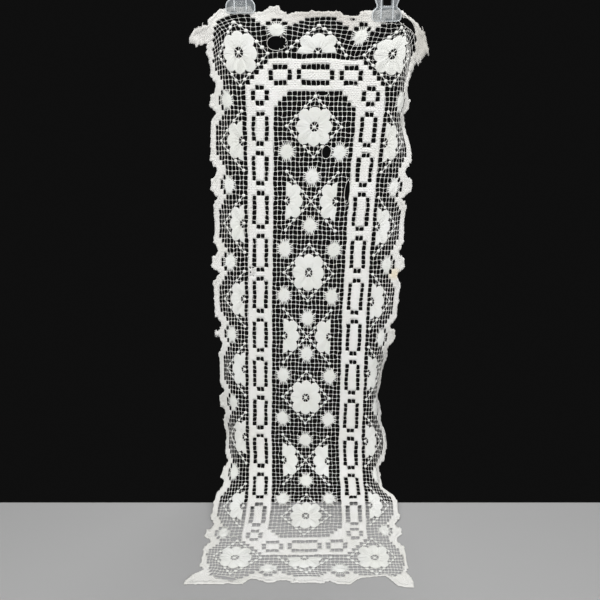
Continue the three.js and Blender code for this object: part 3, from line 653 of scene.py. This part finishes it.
def net_piece(name):
    """The knotted ground: one thread along each run of each line of the net, thicker at its knots."""
    threads = Threads(sides=5)
    is_open = np.pad(KINDS == OPEN, 1)
    for down in (True, False):
        if down:
            drawn = is_open[:-1, 1:-1] | is_open[1:, 1:-1]
        else:
            drawn = is_open[1:-1, :-1] | is_open[1:-1, 1:]
        i, j = np.meshgrid(np.arange(drawn.shape[0]) + FIRST_COLUMN, np.arange(drawn.shape[1]) + FIRST_ROW,
                           indexing="ij")
        mid_x, mid_y = (i, j + 0.5) if down else (i + 0.5, j)
        drawn &= ~under_motif(mid_x, mid_y, NET_TUCKED_IN)
        lines = drawn if down else drawn.T
        for line, flags in enumerate(lines):
            for start, stop in runs_of(flags):
                along = start + np.arange(2 * (stop - start) + 1) / 2
                still = np.full(len(along), float(line))
                x, y = (still, along) if down else (along, still)
                add_net_line(threads, x + FIRST_COLUMN, y + FIRST_ROW, down)
    return threads.make(name)


def filled_thirds():
    """Which thirds of a square are worked in linen stitch, in the bands and in the edge."""
    kinds = KINDS.repeat(THIRDS, 0).repeat(THIRDS, 1)
    a, b = np.meshgrid(np.arange(kinds.shape[0]), np.arange(kinds.shape[1]), indexing="ij")
    x = FIRST_COLUMN + (a + 0.5) / THIRDS
    y = FIRST_ROW + (b + 0.5) / THIRDS
    cloth = inside_outline(x, y)
    at_x, at_y, half_across, half_down = WORN_PLACE
    worn = (np.abs(x - at_x) < half_across) & (np.abs(y - at_y) < half_down)
    worn &= RNG.random(x.shape) < WORN_SHARE
    bands = (kinds == LINEN) & ~worn
    edge = cloth & (kinds != OPEN) & ~bands & ~torn(x, y)
    return bands, edge


def linen_threads(filled):
    """Woven threads, three to a square each way, passing over and under each other."""
    threads = Threads(sides=4)
    for down in (True, False):
        cells = filled if down else filled.T
        shared = cells[:-1] & cells[1:]
        for line, flags in enumerate(shared, start=1):
            for start, stop in runs_of(flags):
                count = np.arange(start, stop + 1)
                over = np.where((count + line) % 2 == 0, 1.0, -1.0) * (1 if down else -1)
                over[[0, -1]] = 0
                lift = over * LINEN_WAVE + RNG.normal(0, LINEN_LIFT_UNEVEN, len(count))
                stray = RNG.normal(0, LINEN_STRAY, len(count))
                wide = LINEN_WIDE * (1 + RNG.normal(0, LINEN_WIDE_UNEVEN, len(count)))
                if down:
                    threads.add(FIRST_COLUMN + line / THIRDS + stray, FIRST_ROW + count / THIRDS, lift, wide,
                                LINEN_THICK)
                else:
                    threads.add(FIRST_COLUMN + count / THIRDS, FIRST_ROW + line / THIRDS + stray, lift,
                                wide * LINEN_CROSSWISE, LINEN_THICK)
    return threads


# The rim: spacing of its stitches and how unevenly it runs, in squares, and its two cords: place in from the
# outline in squares and half width in millimetres
RIM_SPACING = 0.3
RIM_UNEVEN = 0.05
RIM_WANDER = 0.22
WANDER_ROUNDS = 2
RIM_CORDS = ((0.12, 0.7), (0.36, 0.6))

# A stitch over the rim, from its outer end: depths in squares and the range of the last one, then lifts, half
# widths and half thickness in millimetres
STITCH_DEPTHS = (0.02, 0.4, 0.95)
STITCH_VARIES = (-0.15, 0.2)
STITCH_LIFTS = (0.2, 0.5, 0.1)
STITCH_WIDE = (0.7, 0.8, 0.6)
STITCH_THICK = 0.4


def edge_piece(name, filled):
    """The stitched edge: linen stitch out to the outline, closed by two cords and stitches over them."""
    threads = linen_threads(filled)
    closed = np.vstack([OUTLINE, OUTLINE[:1]])
    length = np.concatenate([[0], np.cumsum(np.linalg.norm(np.diff(closed, axis=0), axis=1))])
    stations = np.arange(0, length[-1], RIM_SPACING)
    x = np.interp(stations, length, closed[:, 0])
    y = np.interp(stations, length, closed[:, 1])
    tangent = unit(np.column_stack([np.roll(x, -1) - np.roll(x, 1), np.roll(y, -1) - np.roll(y, 1)]))
    inward = np.column_stack([-tangent[:, 1], tangent[:, 0]])
    uneven = RNG.normal(0, RIM_UNEVEN, len(stations))
    for _ in range(WANDER_ROUNDS):
        wander = RNG.normal(0, RIM_WANDER, len(stations))
        uneven += (np.roll(wander, -1) + wander + np.roll(wander, 1)) / 3
    for inset, wide in RIM_CORDS:
        rim = np.column_stack([x, y]) + inward * (inset + uneven)[:, None]
        rim = np.vstack([rim, rim[:1]])
        threads.add(rim[:, 0], rim[:, 1], 0, wide, wide)
    for k in range(len(stations)):
        depth = np.array(STITCH_DEPTHS)
        depth[-1] += RNG.uniform(*STITCH_VARIES)
        depth += uneven[k]
        stitch = np.array([x[k], y[k]]) + depth[:, None] * inward[k]
        if torn(*stitch.T).any():
            continue
        threads.add(stitch[:, 0], stitch[:, 1], STITCH_LIFTS, STITCH_WIDE, STITCH_THICK)
    return threads.make(name)


# A rosette: its rings of thread, points and waves round a full ring, streaks that run out from its heart, how
# uneven the rings are in squares, then its heights and its thread's half sizes in millimetres
RINGS = 14
RING_POINTS = 80
RING_WAVES = 20
STREAKS = 16
RING_UNEVEN = 0.012
RING_LIFT = 0.3
RING_CROWN = 0.2
RING_WEAVE = 0.08
STREAK_HEIGHT = 0.5
RING_WIDE, RING_THICK = 0.9, 0.5


def rosette_piece(name):
    """Darned flowers: close rings of thread round the heart that follow the petals' outline."""
    threads = Threads(sides=4)
    for cx, cy, way_x, way_y in ROSETTES:
        half = bool(way_x or way_y)
        span = math.pi if half else 2 * math.pi
        angle = math.atan2(way_y, way_x) + np.linspace(-span, span, RING_POINTS // (2 if half else 1) + 1) / 2
        for ring in range(RINGS + 1):
            f = ring / RINGS
            r = HEART + (petal_reach(angle) - HEART) * f + RNG.normal(0, RING_UNEVEN, len(angle))
            weave = RING_WEAVE * np.cos(RING_WAVES * angle) * (1 if ring % 2 else -1)
            streak = STREAK_HEIGHT * (1 - f) ** 2 * np.cos(STREAKS * angle)
            lift = RING_LIFT + RING_CROWN * math.sin(math.pi * f) + weave + streak
            threads.add(cx + r * np.cos(angle), cy + r * np.sin(angle), lift, RING_WIDE, RING_THICK)
    return threads.make(name)


# A bud: points and waves round a ring, its rings as shares of its size, how uneven they are in squares, then
# its heights and its thread's half sizes in millimetres
BUD_POINTS = 24
BUD_WAVES = 8
BUD_RINGS = np.linspace(0.12, 1, 8)
BUD_UNEVEN = 0.04
BUD_LIFT = 0.2
BUD_CROWN = 0.3
BUD_WEAVE = 0.1
BUD_WIDE, BUD_THICK = 0.85, 0.5

# Its ties out to the net: their fan on each side, places along one, half widths and their range, lift and
# half thickness
TIE_FAN = (-1, -0.5, 0, 0.5, 1)
TIE_ALONG = np.array([0.5, 0.72, 0.88, 1.0])
TIE_WIDE = np.array([1.2, 1.1, 0.8, 0.4])
TIE_VARIES = (0.55, 1.2)
TIE_LIFT, TIE_THICK = 0.15, 0.4


def bud_piece(name):
    """Small flowers: rings of thread woven round a knot, tied out to the net in four fans."""
    threads = Threads(sides=4)
    angle = np.linspace(0, 2 * math.pi, BUD_POINTS + 1)
    tips = [tip for side in (-BUD_TIP, BUD_TIP) for k in TIE_FAN for tip in ((side, k), (k, side))]
    for cx, cy in BUDS:
        for ring in BUD_RINGS:
            r = ring * (BUD_CORE + BUD_CORNER * np.sin(2 * angle) ** 2)
            r += RNG.normal(0, BUD_UNEVEN, len(angle))
            r[-1] = r[0]
            lift = BUD_LIFT + BUD_CROWN * (1 - ring ** 2) + BUD_WEAVE * np.cos(BUD_WAVES * angle)
            threads.add(cx + r * np.cos(angle), cy + r * np.sin(angle), lift, BUD_WIDE, BUD_THICK)
        for dx, dy in tips:
            wide = TIE_WIDE * RNG.uniform(*TIE_VARIES)
            x, y = cx + dx * TIE_ALONG, cy + dy * TIE_ALONG
            if not torn(x, y).any():
                threads.add(x, y, TIE_LIFT, wide, TIE_THICK)
    return threads.make(name)


def near_open(x, y):
    """Whether a knot touches an open square."""
    i, j = round(x) - FIRST_COLUMN, round(y) - FIRST_ROW
    return bool((KINDS[i - 1:i + 1, j - 1:j + 1] == OPEN).any())


# A wheel's knot, along its length in squares: half widths and half thicknesses in millimetres, the range of
# its size and its lift. Then half widths and lifts of the threads and of a heart's spokes, and places along
# a spoke.
KNOT_ALONG = np.array([-0.4, -0.25, 0, 0.25, 0.4])
KNOT_WIDE = np.array([0.7, 1.9, 2.3, 1.9, 0.7])
KNOT_THICK = np.array([0.4, 0.9, 1.05, 0.9, 0.4])
KNOT_SIZES = (0.88, 1.1)
KNOT_LIFT = 0.35
WHEEL_THREAD, WHEEL_LIFT = 0.42, 0.25
SPOKE_THREAD, SPOKE_LIFT = 0.5, 0.2
SPOKE_OUT = np.array([0.0, 0.5, 0.95])


def wheel_piece(name):
    """Wheels: knots on a diamond round each rosette, joined by slanting threads, and the rosettes' hearts."""
    threads = Threads(sides=6)
    knots = set()
    for cx, cy, way_x, way_y in ROSETTES:
        ways = [(sx, sy) for sx in (-1, 1) for sy in (-1, 1) if sx * way_x >= 0 and sy * way_y >= 0]
        for sx, sy in ways:
            steps = np.arange(DIAMOND + 1)
            x, y = cx + sx * (DIAMOND - steps), cy + sy * steps
            kept = np.array([near_open(px, py) for px, py in zip(x, y)])
            for start, stop in runs_of(kept):
                if stop - start > 1:
                    fine = np.arange(2 * (stop - start) - 1) / 2 + start
                    threads.add(np.interp(fine, steps, x), np.interp(fine, steps, y), WHEEL_LIFT,
                                WHEEL_THREAD, WHEEL_THREAD)
            knots |= {(px, py) for px, py, k in zip(x, y, kept) if k and abs(px - cx) != abs(py - cy)}
            threads.add(cx + sx * SPOKE_OUT, cy + sy * SPOKE_OUT, SPOKE_LIFT, SPOKE_THREAD, SPOKE_THREAD)
        knots.add((cx, cy))
    for x, y in sorted(knots):
        size = RNG.uniform(*KNOT_SIZES)
        threads.add(x + KNOT_ALONG, y, KNOT_LIFT, KNOT_WIDE * size, KNOT_THICK)
    return threads.make(name)


# The thread round a torn place: points, how far out it runs in squares, half width and lift in millimetres,
# and its loose ends with the ranges of their reach in squares and lift in millimetres
TEAR_POINTS = 28
TEAR_RIM_OUT = 0.06
TEAR_THREAD, TEAR_LIFT = 0.3, 0.1
TEAR_ENDS = 6
TEAR_END_REACH, TEAR_END_LIFT = (0.2, 0.5), (0, 0.8)

# The loose ends of a frayed edge: how many, the ranges of reach and lift, and how far they curl
FRAY_ENDS = 14
FRAY_REACH, FRAY_LIFT = (0.15, 0.7), (-0.4, 0.8)
FRAY_CURL = 0.2
CURL_ALONG = np.array([0, 0.3, 1])

# A loose end from root to tip: places along it, half widths and half thickness in millimetres
LOOSE_ALONG = np.array([0, 0.5, 1])
LOOSE_WIDE = (0.5, 0.45, 0.3)
LOOSE_THICK = 0.4


def tear_rim(tear):
    """Places round a torn place, just outside it."""
    at_x, at_y, half_across, half_down, tilt = tear
    turn = np.linspace(0, 2 * math.pi, TEAR_POINTS + 1)
    c, s = math.cos(math.radians(tilt)), math.sin(math.radians(tilt))
    u = (half_across + TEAR_RIM_OUT) * np.cos(turn)
    v = (half_down + TEAR_RIM_OUT) * np.sin(turn)
    return at_x + u * c - v * s, at_y + u * s + v * c


def fray_piece(name):
    """Threads drawn round the torn places, and loose ends there and along the frayed edges."""
    threads = Threads(sides=5)
    for tear in TEARS:
        x, y = tear_rim(tear)
        threads.add(x, y, TEAR_LIFT, TEAR_THREAD, TEAR_THREAD)
        for k in RNG.choice(TEAR_POINTS, TEAR_ENDS, replace=False):
            reach = RNG.uniform(*TEAR_END_REACH) * LOOSE_ALONG
            way = RNG.uniform(0, 2 * math.pi)
            threads.add(x[k] + reach * math.cos(way), y[k] + reach * math.sin(way),
                        RNG.uniform(*TEAR_END_LIFT), LOOSE_WIDE, LOOSE_THICK)
    for start, stop, way in FRAYED_EDGES:
        for t in np.linspace(0, 1, FRAY_ENDS):
            x, y = np.array(start) + t * (np.array(stop) - start)
            reach = RNG.uniform(*FRAY_REACH) * LOOSE_ALONG
            curl = RNG.normal(0, FRAY_CURL) * CURL_ALONG
            threads.add(x + way[0] * reach + way[1] * curl, y + way[1] * reach - way[0] * curl,
                        RNG.uniform(*FRAY_LIFT), LOOSE_WIDE, LOOSE_THICK)
    return threads.make(name)


def new_material(name):
    """A new material, its nodes, its links and its main shader."""
    material = bpy.data.materials.new(name)
    material.use_nodes = True
    tree = material.node_tree
    return material, tree.nodes, tree.links, tree.nodes["Principled BSDF"]


def set_inputs(node, values):
    """Set a node's inputs, by name or number."""
    for key, value in values.items():
        node.inputs[key].default_value = value


def add_node(nodes, kind, values, operation=None):
    """A new shader node of a kind, with its inputs set."""
    node = nodes.new("ShaderNode" + kind)
    if operation:
        node.operation = operation
    set_inputs(node, values)
    return node


# Cotton: tone of its duller parts, pitch and height of its twist in millimetres, and the full core of a spot
# of stain and of painted shade
DULLER = (0.93, 0.93, 0.9)
TWIST_PITCH, TWIST_HEIGHT = 0.9, 0.12
STAIN_AND_SHADE_CORE = 0.3


def cotton(name, colour, spots):
    """Off-white cotton thread: uneven bleaching, age spots and spots of painted shade, and the twist of the
    thread as fine ridges.
    """
    material, nodes, links, shader = new_material(name)
    set_inputs(shader, {"Roughness": 0.88, "Specular IOR Level": 0.25})
    set_inputs(shader, {"Sheen Weight": 0.15, "Sheen Roughness": 0.5})
    coords = add_node(nodes, "TexCoord", {})
    bleach = add_node(nodes, "TexNoise", {"Scale": 22, "Detail": 4})
    links.new(coords.outputs["Object"], bleach.inputs["Vector"])
    tone = add_node(nodes, "ValToRGB", {})
    tone.color_ramp.elements[0].position = 0.3
    tone.color_ramp.elements[0].color = (*[c * share for c, share in zip(colour, DULLER)], 1)
    tone.color_ramp.elements[1].position = 0.7
    tone.color_ramp.elements[1].color = (*colour, 1)
    links.new(bleach.outputs["Fac"], tone.inputs["Fac"])
    painted = tone.outputs["Color"]
    for spot in spots:
        painted = stain_and_shade_spot(nodes, links, coords, painted, *spot)
    links.new(painted, shader.inputs["Base Color"])
    twist = add_node(nodes, "Attribute", {})
    twist.attribute_name = "along"
    pitch = add_node(nodes, "Math", {1: 2 * math.pi / (TWIST_PITCH * MM)}, "MULTIPLY")
    ridges = add_node(nodes, "Math", {}, "SINE")
    links.new(twist.outputs["Fac"], pitch.inputs[0])
    links.new(pitch.outputs[0], ridges.inputs[0])
    fibre = add_node(nodes, "TexNoise", {"Scale": 1400})
    links.new(coords.outputs["Object"], fibre.inputs["Vector"])
    height = add_node(nodes, "Math", {}, "ADD")
    links.new(ridges.outputs[0], height.inputs[0])
    links.new(fibre.outputs["Fac"], height.inputs[1])
    bump = add_node(nodes, "Bump", {"Strength": 0.35, "Distance": TWIST_HEIGHT * MM})
    links.new(height.outputs[0], bump.inputs["Height"])
    links.new(bump.outputs["Normal"], shader.inputs["Normal"])
    return material


def stain_and_shade_spot(nodes, links, coords, painted, x, y, radius, colour):
    """A soft spot of colour round a place in squares, used for a stain and for painted shade."""
    centre, _ = place(np.array([x], float), np.array([y], float), np.zeros(1))
    away = add_node(nodes, "VectorMath", {1: centre[0]}, "DISTANCE")
    links.new(coords.outputs["Object"], away.inputs[0])
    fade = add_node(nodes, "MapRange", {"From Min": radius * MM, "From Max": radius * MM * STAIN_AND_SHADE_CORE})
    links.new(away.outputs["Value"], fade.inputs["Value"])
    mix = add_node(nodes, "MixRGB", {"Color2": (*colour, 1)})
    links.new(fade.outputs["Result"], mix.inputs["Fac"])
    links.new(painted, mix.inputs["Color1"])
    return mix.outputs["Color"]


# How much the cloudiness of the plastic varies
HAZE_LEAST, HAZE_MOST = 0.7, 1.3


def plastic(name, colour, cover):
    """Clear moulded plastic, a little cloudy, that hides the given share of what is behind it."""
    material, nodes, links, shader = new_material(name)
    set_inputs(shader, {"Base Color": (*colour, 1), "IOR": 1.46, "Roughness": 0.12})
    cloud = add_node(nodes, "TexNoise", {"Scale": 120})
    haze = add_node(nodes, "MapRange", {"To Min": cover * HAZE_LEAST, "To Max": cover * HAZE_MOST})
    links.new(cloud.outputs["Fac"], haze.inputs["Value"])
    links.new(haze.outputs["Result"], shader.inputs["Alpha"])
    return material


# Clips, in millimetres: height above the bottom of the jaws and half width of a plate there
CLIP_HEIGHT = 41
CLIP_SHAPE = table(("row", "half"), [
    (0, 14),
    (0.8, 16.4),
    (2.5, 18.2),
    (5, 18.8),
    (9, 18.7),
    (12, 17.7),
    (14.5, 15.8),
    (16.5, 13.2),
    (19, 12.6),
    (23, 14),
    (29, 15.6),
    (36, 15.4),
    (CLIP_HEIGHT, 13.5),
])
JAW_HEIGHT = 15
WINDOW_HALF = 5.6
WINDOW_BOTTOM = 18
PLATE = 1.4
SLOT = 1.5
ARM_SPREAD, ARM_RISE = 1.5, 12
RIM_RADIUS = 0.75
RIM_TOP = CLIP_HEIGHT - 1
RIB_PLACE = 7.8
RIB_BOTTOM = 1.5
RIB_PROUD = 0.9
RIB_RADIUS = RIM_RADIUS * 1.1
PIN_HALF = WINDOW_HALF + 4
PIN_HEIGHT = JAW_HEIGHT + 2.0
PIN_RADIUS = 1.4
PLATE_STEPS, RIM_STEPS, RIB_STEPS, PIN_STEPS = 42, 40, 12, 5


def plate_depth(z):
    """How far a plate stands from the middle of its clip, closed at the jaws and open above."""
    return SLOT + PLATE / 2 + ARM_SPREAD * np.clip((z - JAW_HEIGHT) / ARM_RISE, 0, 1)


def swept(points, radius):
    """A round bar along points in millimetres, as points and faces."""
    sides = 8
    along = unit(np.gradient(points, axis=0))
    first = unit(np.cross(along, (0.0, 1.0, 0.0)))
    second = np.cross(along, first)
    turn = 2 * math.pi * np.arange(sides) / sides
    ring = points[:, None] + radius * (np.cos(turn)[None, :, None] * first[:, None]
                                       + np.sin(turn)[None, :, None] * second[:, None])
    quads = tube_quads(np.arange(len(points) - 1) * sides, sides)
    s = np.arange(sides)
    caps = np.stack([s[::-1], s + sides * (len(points) - 1)])
    return ring.reshape(-1, 3), [quads, caps]


def clip_plates(name):
    """The two clear plates of a clip, wide at the jaws, with a window between the arms above the neck."""
    z = np.linspace(0, CLIP_HEIGHT, PLATE_STEPS)
    half = look_up(CLIP_SHAPE, "half", z)
    across = np.stack([-half, np.full(len(z), -WINDOW_HALF), np.full(len(z), WINDOW_HALF), half])
    points, quads = [], []
    for way in (-1, 1):
        first = sum(len(p) for p in points)
        depth = np.broadcast_to(way * plate_depth(z), across.shape)
        points.append(np.stack([across, depth, np.broadcast_to(z, across.shape)], -1).reshape(-1, 3))
        for column in range(3):
            for row in range(len(z) - 1):
                if column == 1 and z[row] > WINDOW_BOTTOM:
                    continue
                k = first + column * len(z) + row
                quads.append((k, k + len(z), k + len(z) + 1, k + 1)[::-way])
    piece = build_mesh(name, np.concatenate(points) * MM, [np.array(quads)])
    solid = piece.modifiers.new("thickness", "SOLIDIFY")
    solid.thickness = PLATE * MM
    solid.offset = 0
    return piece


def clip_rims(name):
    """The thick edges, ribs and pin of a clip."""
    z = np.concatenate([[0], np.linspace(0, RIM_TOP, RIM_STEPS)])
    half = look_up(CLIP_SHAPE, "half", z)
    half[0] = 0
    rib_z = np.linspace(RIB_BOTTOM, RIM_TOP, RIB_STEPS)
    bars = []
    for way in (-1, 1):
        for side in (-1, 1):
            bars.append((np.column_stack([side * half, way * plate_depth(z), z]), RIM_RADIUS))
            rib_x = np.full(len(rib_z), side * RIB_PLACE)
            rib_y = way * (plate_depth(rib_z) + RIB_PROUD)
            bars.append((np.column_stack([rib_x, rib_y, rib_z]), RIB_RADIUS))
    pin_x = np.linspace(-PIN_HALF, PIN_HALF, PIN_STEPS)
    bars.append((np.column_stack([pin_x, np.zeros(PIN_STEPS), np.full(PIN_STEPS, PIN_HEIGHT)]), PIN_RADIUS))
    points, quads, caps = [], [], []
    for path, radius in bars:
        first = sum(len(p) for p in points)
        ring, (sides, ends) = swept(path, radius)
        points.append(ring)
        quads.append(sides + first)
        caps.append(ends + first)
    return build_mesh(name, np.concatenate(points) * MM, [np.concatenate(quads), np.concatenate(caps)])


# Colours of the cotton, and spots of stain and of painted shade: place in squares, radius in millimetres,
# colour
NET_WHITE = (0.67, 0.665, 0.65)
LACE_WHITE = (0.72, 0.715, 0.705)
# The edge's colour, darker than the bands': painted shade
SHADED_EDGE_WHITE = (0.66, 0.655, 0.64)
FLOWER_WHITE = (0.665, 0.67, 0.655)
BEIGE_STAIN = (32, 33, 12, (0.66, 0.6, 0.48))
# Painted shade: darker spots over the top edge and its corner tabs
TOP_EDGE_SHADE_SPOTS = ((33.6, -20.6, 40, (0.42, 0.41, 0.38)), (-15.6, -20.4, 26, (0.54, 0.53, 0.51)),
                (9.5, -20.4, 80, (0.52, 0.5, 0.47)))


def dress_runner():
    """All the pieces of the lace."""
    ground = cotton("net_cotton", NET_WHITE, [BEIGE_STAIN])
    cloth = cotton("cotton", LACE_WHITE, [BEIGE_STAIN])
    # Painted shade on the edge cotton: a darker colour than the bands, and darker spots over the top edge
    worn = cotton("edge_cotton", SHADED_EDGE_WHITE, [BEIGE_STAIN, *TOP_EDGE_SHADE_SPOTS])
    petals = cotton("darned_cotton", FLOWER_WHITE, [])
    bands, edge = filled_thirds()
    net = net_piece("lace_net")
    dressed = [
        (net, ground),
        (linen_threads(bands).make("lace_bands"), cloth),
        (edge_piece("lace_edge", edge), worn),
        (rosette_piece("lace_rosettes"), petals),
        (bud_piece("lace_buds"), petals),
        (wheel_piece("lace_wheels"), petals),
        (fray_piece("lace_frays"), worn),
    ]
    for piece, material in dressed:
        piece.data.materials.append(material)
        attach(piece, "root")
    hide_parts("lace_runner")


# The plastic's colours, and how much each hides
PLATE_GREY, PLATE_COVER = (0.25, 0.27, 0.28), 0.28
RIM_GREY, RIM_COVER = (0.78, 0.82, 0.84), 0.45


def dress_clips():
    """The two clips, each as clear plates and paler edges."""
    clear = plastic("clear_plastic", PLATE_GREY, PLATE_COVER)
    pale = plastic("pale_plastic", RIM_GREY, RIM_COVER)
    for node in ("left_clip", "right_clip"):
        low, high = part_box(node)
        plates = clip_plates(node + "_plates")
        rims = clip_rims(node + "_rims")
        plates.data.materials.append(clear)
        rims.data.materials.append(pale)
        for piece in (plates, rims):
            piece.location = ((low.x + high.x) / 2, (low.y + high.y) / 2, low.z)
            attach(piece, "root")
        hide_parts(node)


# Camera, in millimetres and degrees
CAMERA_PLACE = (-21.5, -955.7, -131.4)
CAMERA_PITCH = 17.84
CAMERA_FOCAL_PIXELS = 668
IMAGE_WIDTH = 600
SENSOR_WIDTH = 36


def add_camera():
    """A camera at the photograph's viewing angle."""
    data = bpy.data.cameras.new("camera")
    data.sensor_width = SENSOR_WIDTH
    data.lens = CAMERA_FOCAL_PIXELS / IMAGE_WIDTH * SENSOR_WIDTH
    camera = add_object("camera", data)
    camera.location = [v * MM for v in CAMERA_PLACE]
    camera.rotation_euler = (math.radians(90 - CAMERA_PITCH), 0, 0)
    bpy.context.scene.camera = camera


# The floor, in metres, and its gap under the cloth in millimetres
FLOOR_LEFT, FLOOR_RIGHT = -0.75, 0.72
FLOOR_FRONT, FLOOR_BACK = -0.8, -0.065
FLOOR_DEPTH = 0.02
FLOOR_GAP = 0.1
FLOOR_GREY = 0.3


def add_floor():
    """A plain pale table top under the lower end."""
    low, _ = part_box("lace_runner")
    top = low.z - FLOOR_GAP * MM
    mesh = bpy.data.meshes.new("floor")
    corners = [(FLOOR_LEFT, FLOOR_FRONT), (FLOOR_RIGHT, FLOOR_FRONT), (FLOOR_RIGHT, FLOOR_BACK),
               (FLOOR_LEFT, FLOOR_BACK)]
    points = [(x, y, top) for x, y in corners] + [(x, y, top - FLOOR_DEPTH) for x, y in corners]
    sides = [(k, (k + 1) % 4, (k + 1) % 4 + 4, k + 4) for k in range(4)]
    mesh.from_pydata(points, [], [(0, 1, 2, 3), (7, 6, 5, 4)] + [side[::-1] for side in sides])
    floor = add_object("floor", mesh)
    material, _, _, shader = new_material("floor")
    set_inputs(shader, {"Base Color": (FLOOR_GREY,) * 3 + (1,), "Roughness": 0.9})
    mesh.materials.append(material)


# Lights: name, place and target in metres, size in metres, power in watts
LIGHTS = (
    ("key", (-0.7, -1.5, 0.6), (0, 0, -0.4), 1.2, 34),
    ("fill", (1.0, -1.4, 0.1), (0, 0, -0.4), 1.2, 20),
    ("top", (0.0, -0.4, 1.1), (0, -0.1, -0.5), 0.9, 10),
    ("back", (0.3, 1.2, 0.9), (0, 0, -0.4), 0.8, 18),
)
WORLD_GREY = 0.005


def add_lights():
    """Soft studio light in dark surroundings."""
    for name, place_at, target, size, power in LIGHTS:
        data = bpy.data.lights.new(name, "AREA")
        data.size = size
        data.energy = power
        lamp = add_object(name, data)
        lamp.location = place_at
        lamp.rotation_euler = (Vector(target) - Vector(place_at)).to_track_quat("-Z", "Y").to_euler()
    world = bpy.data.worlds.new("world")
    world.use_nodes = True
    world.node_tree.nodes["Background"].inputs["Color"].default_value = (WORLD_GREY,) * 3 + (1,)
    bpy.context.scene.world = world
    bpy.context.scene.view_settings.view_transform = "Standard"


dress_runner()
dress_clips()
add_camera()
add_floor()
add_lights()
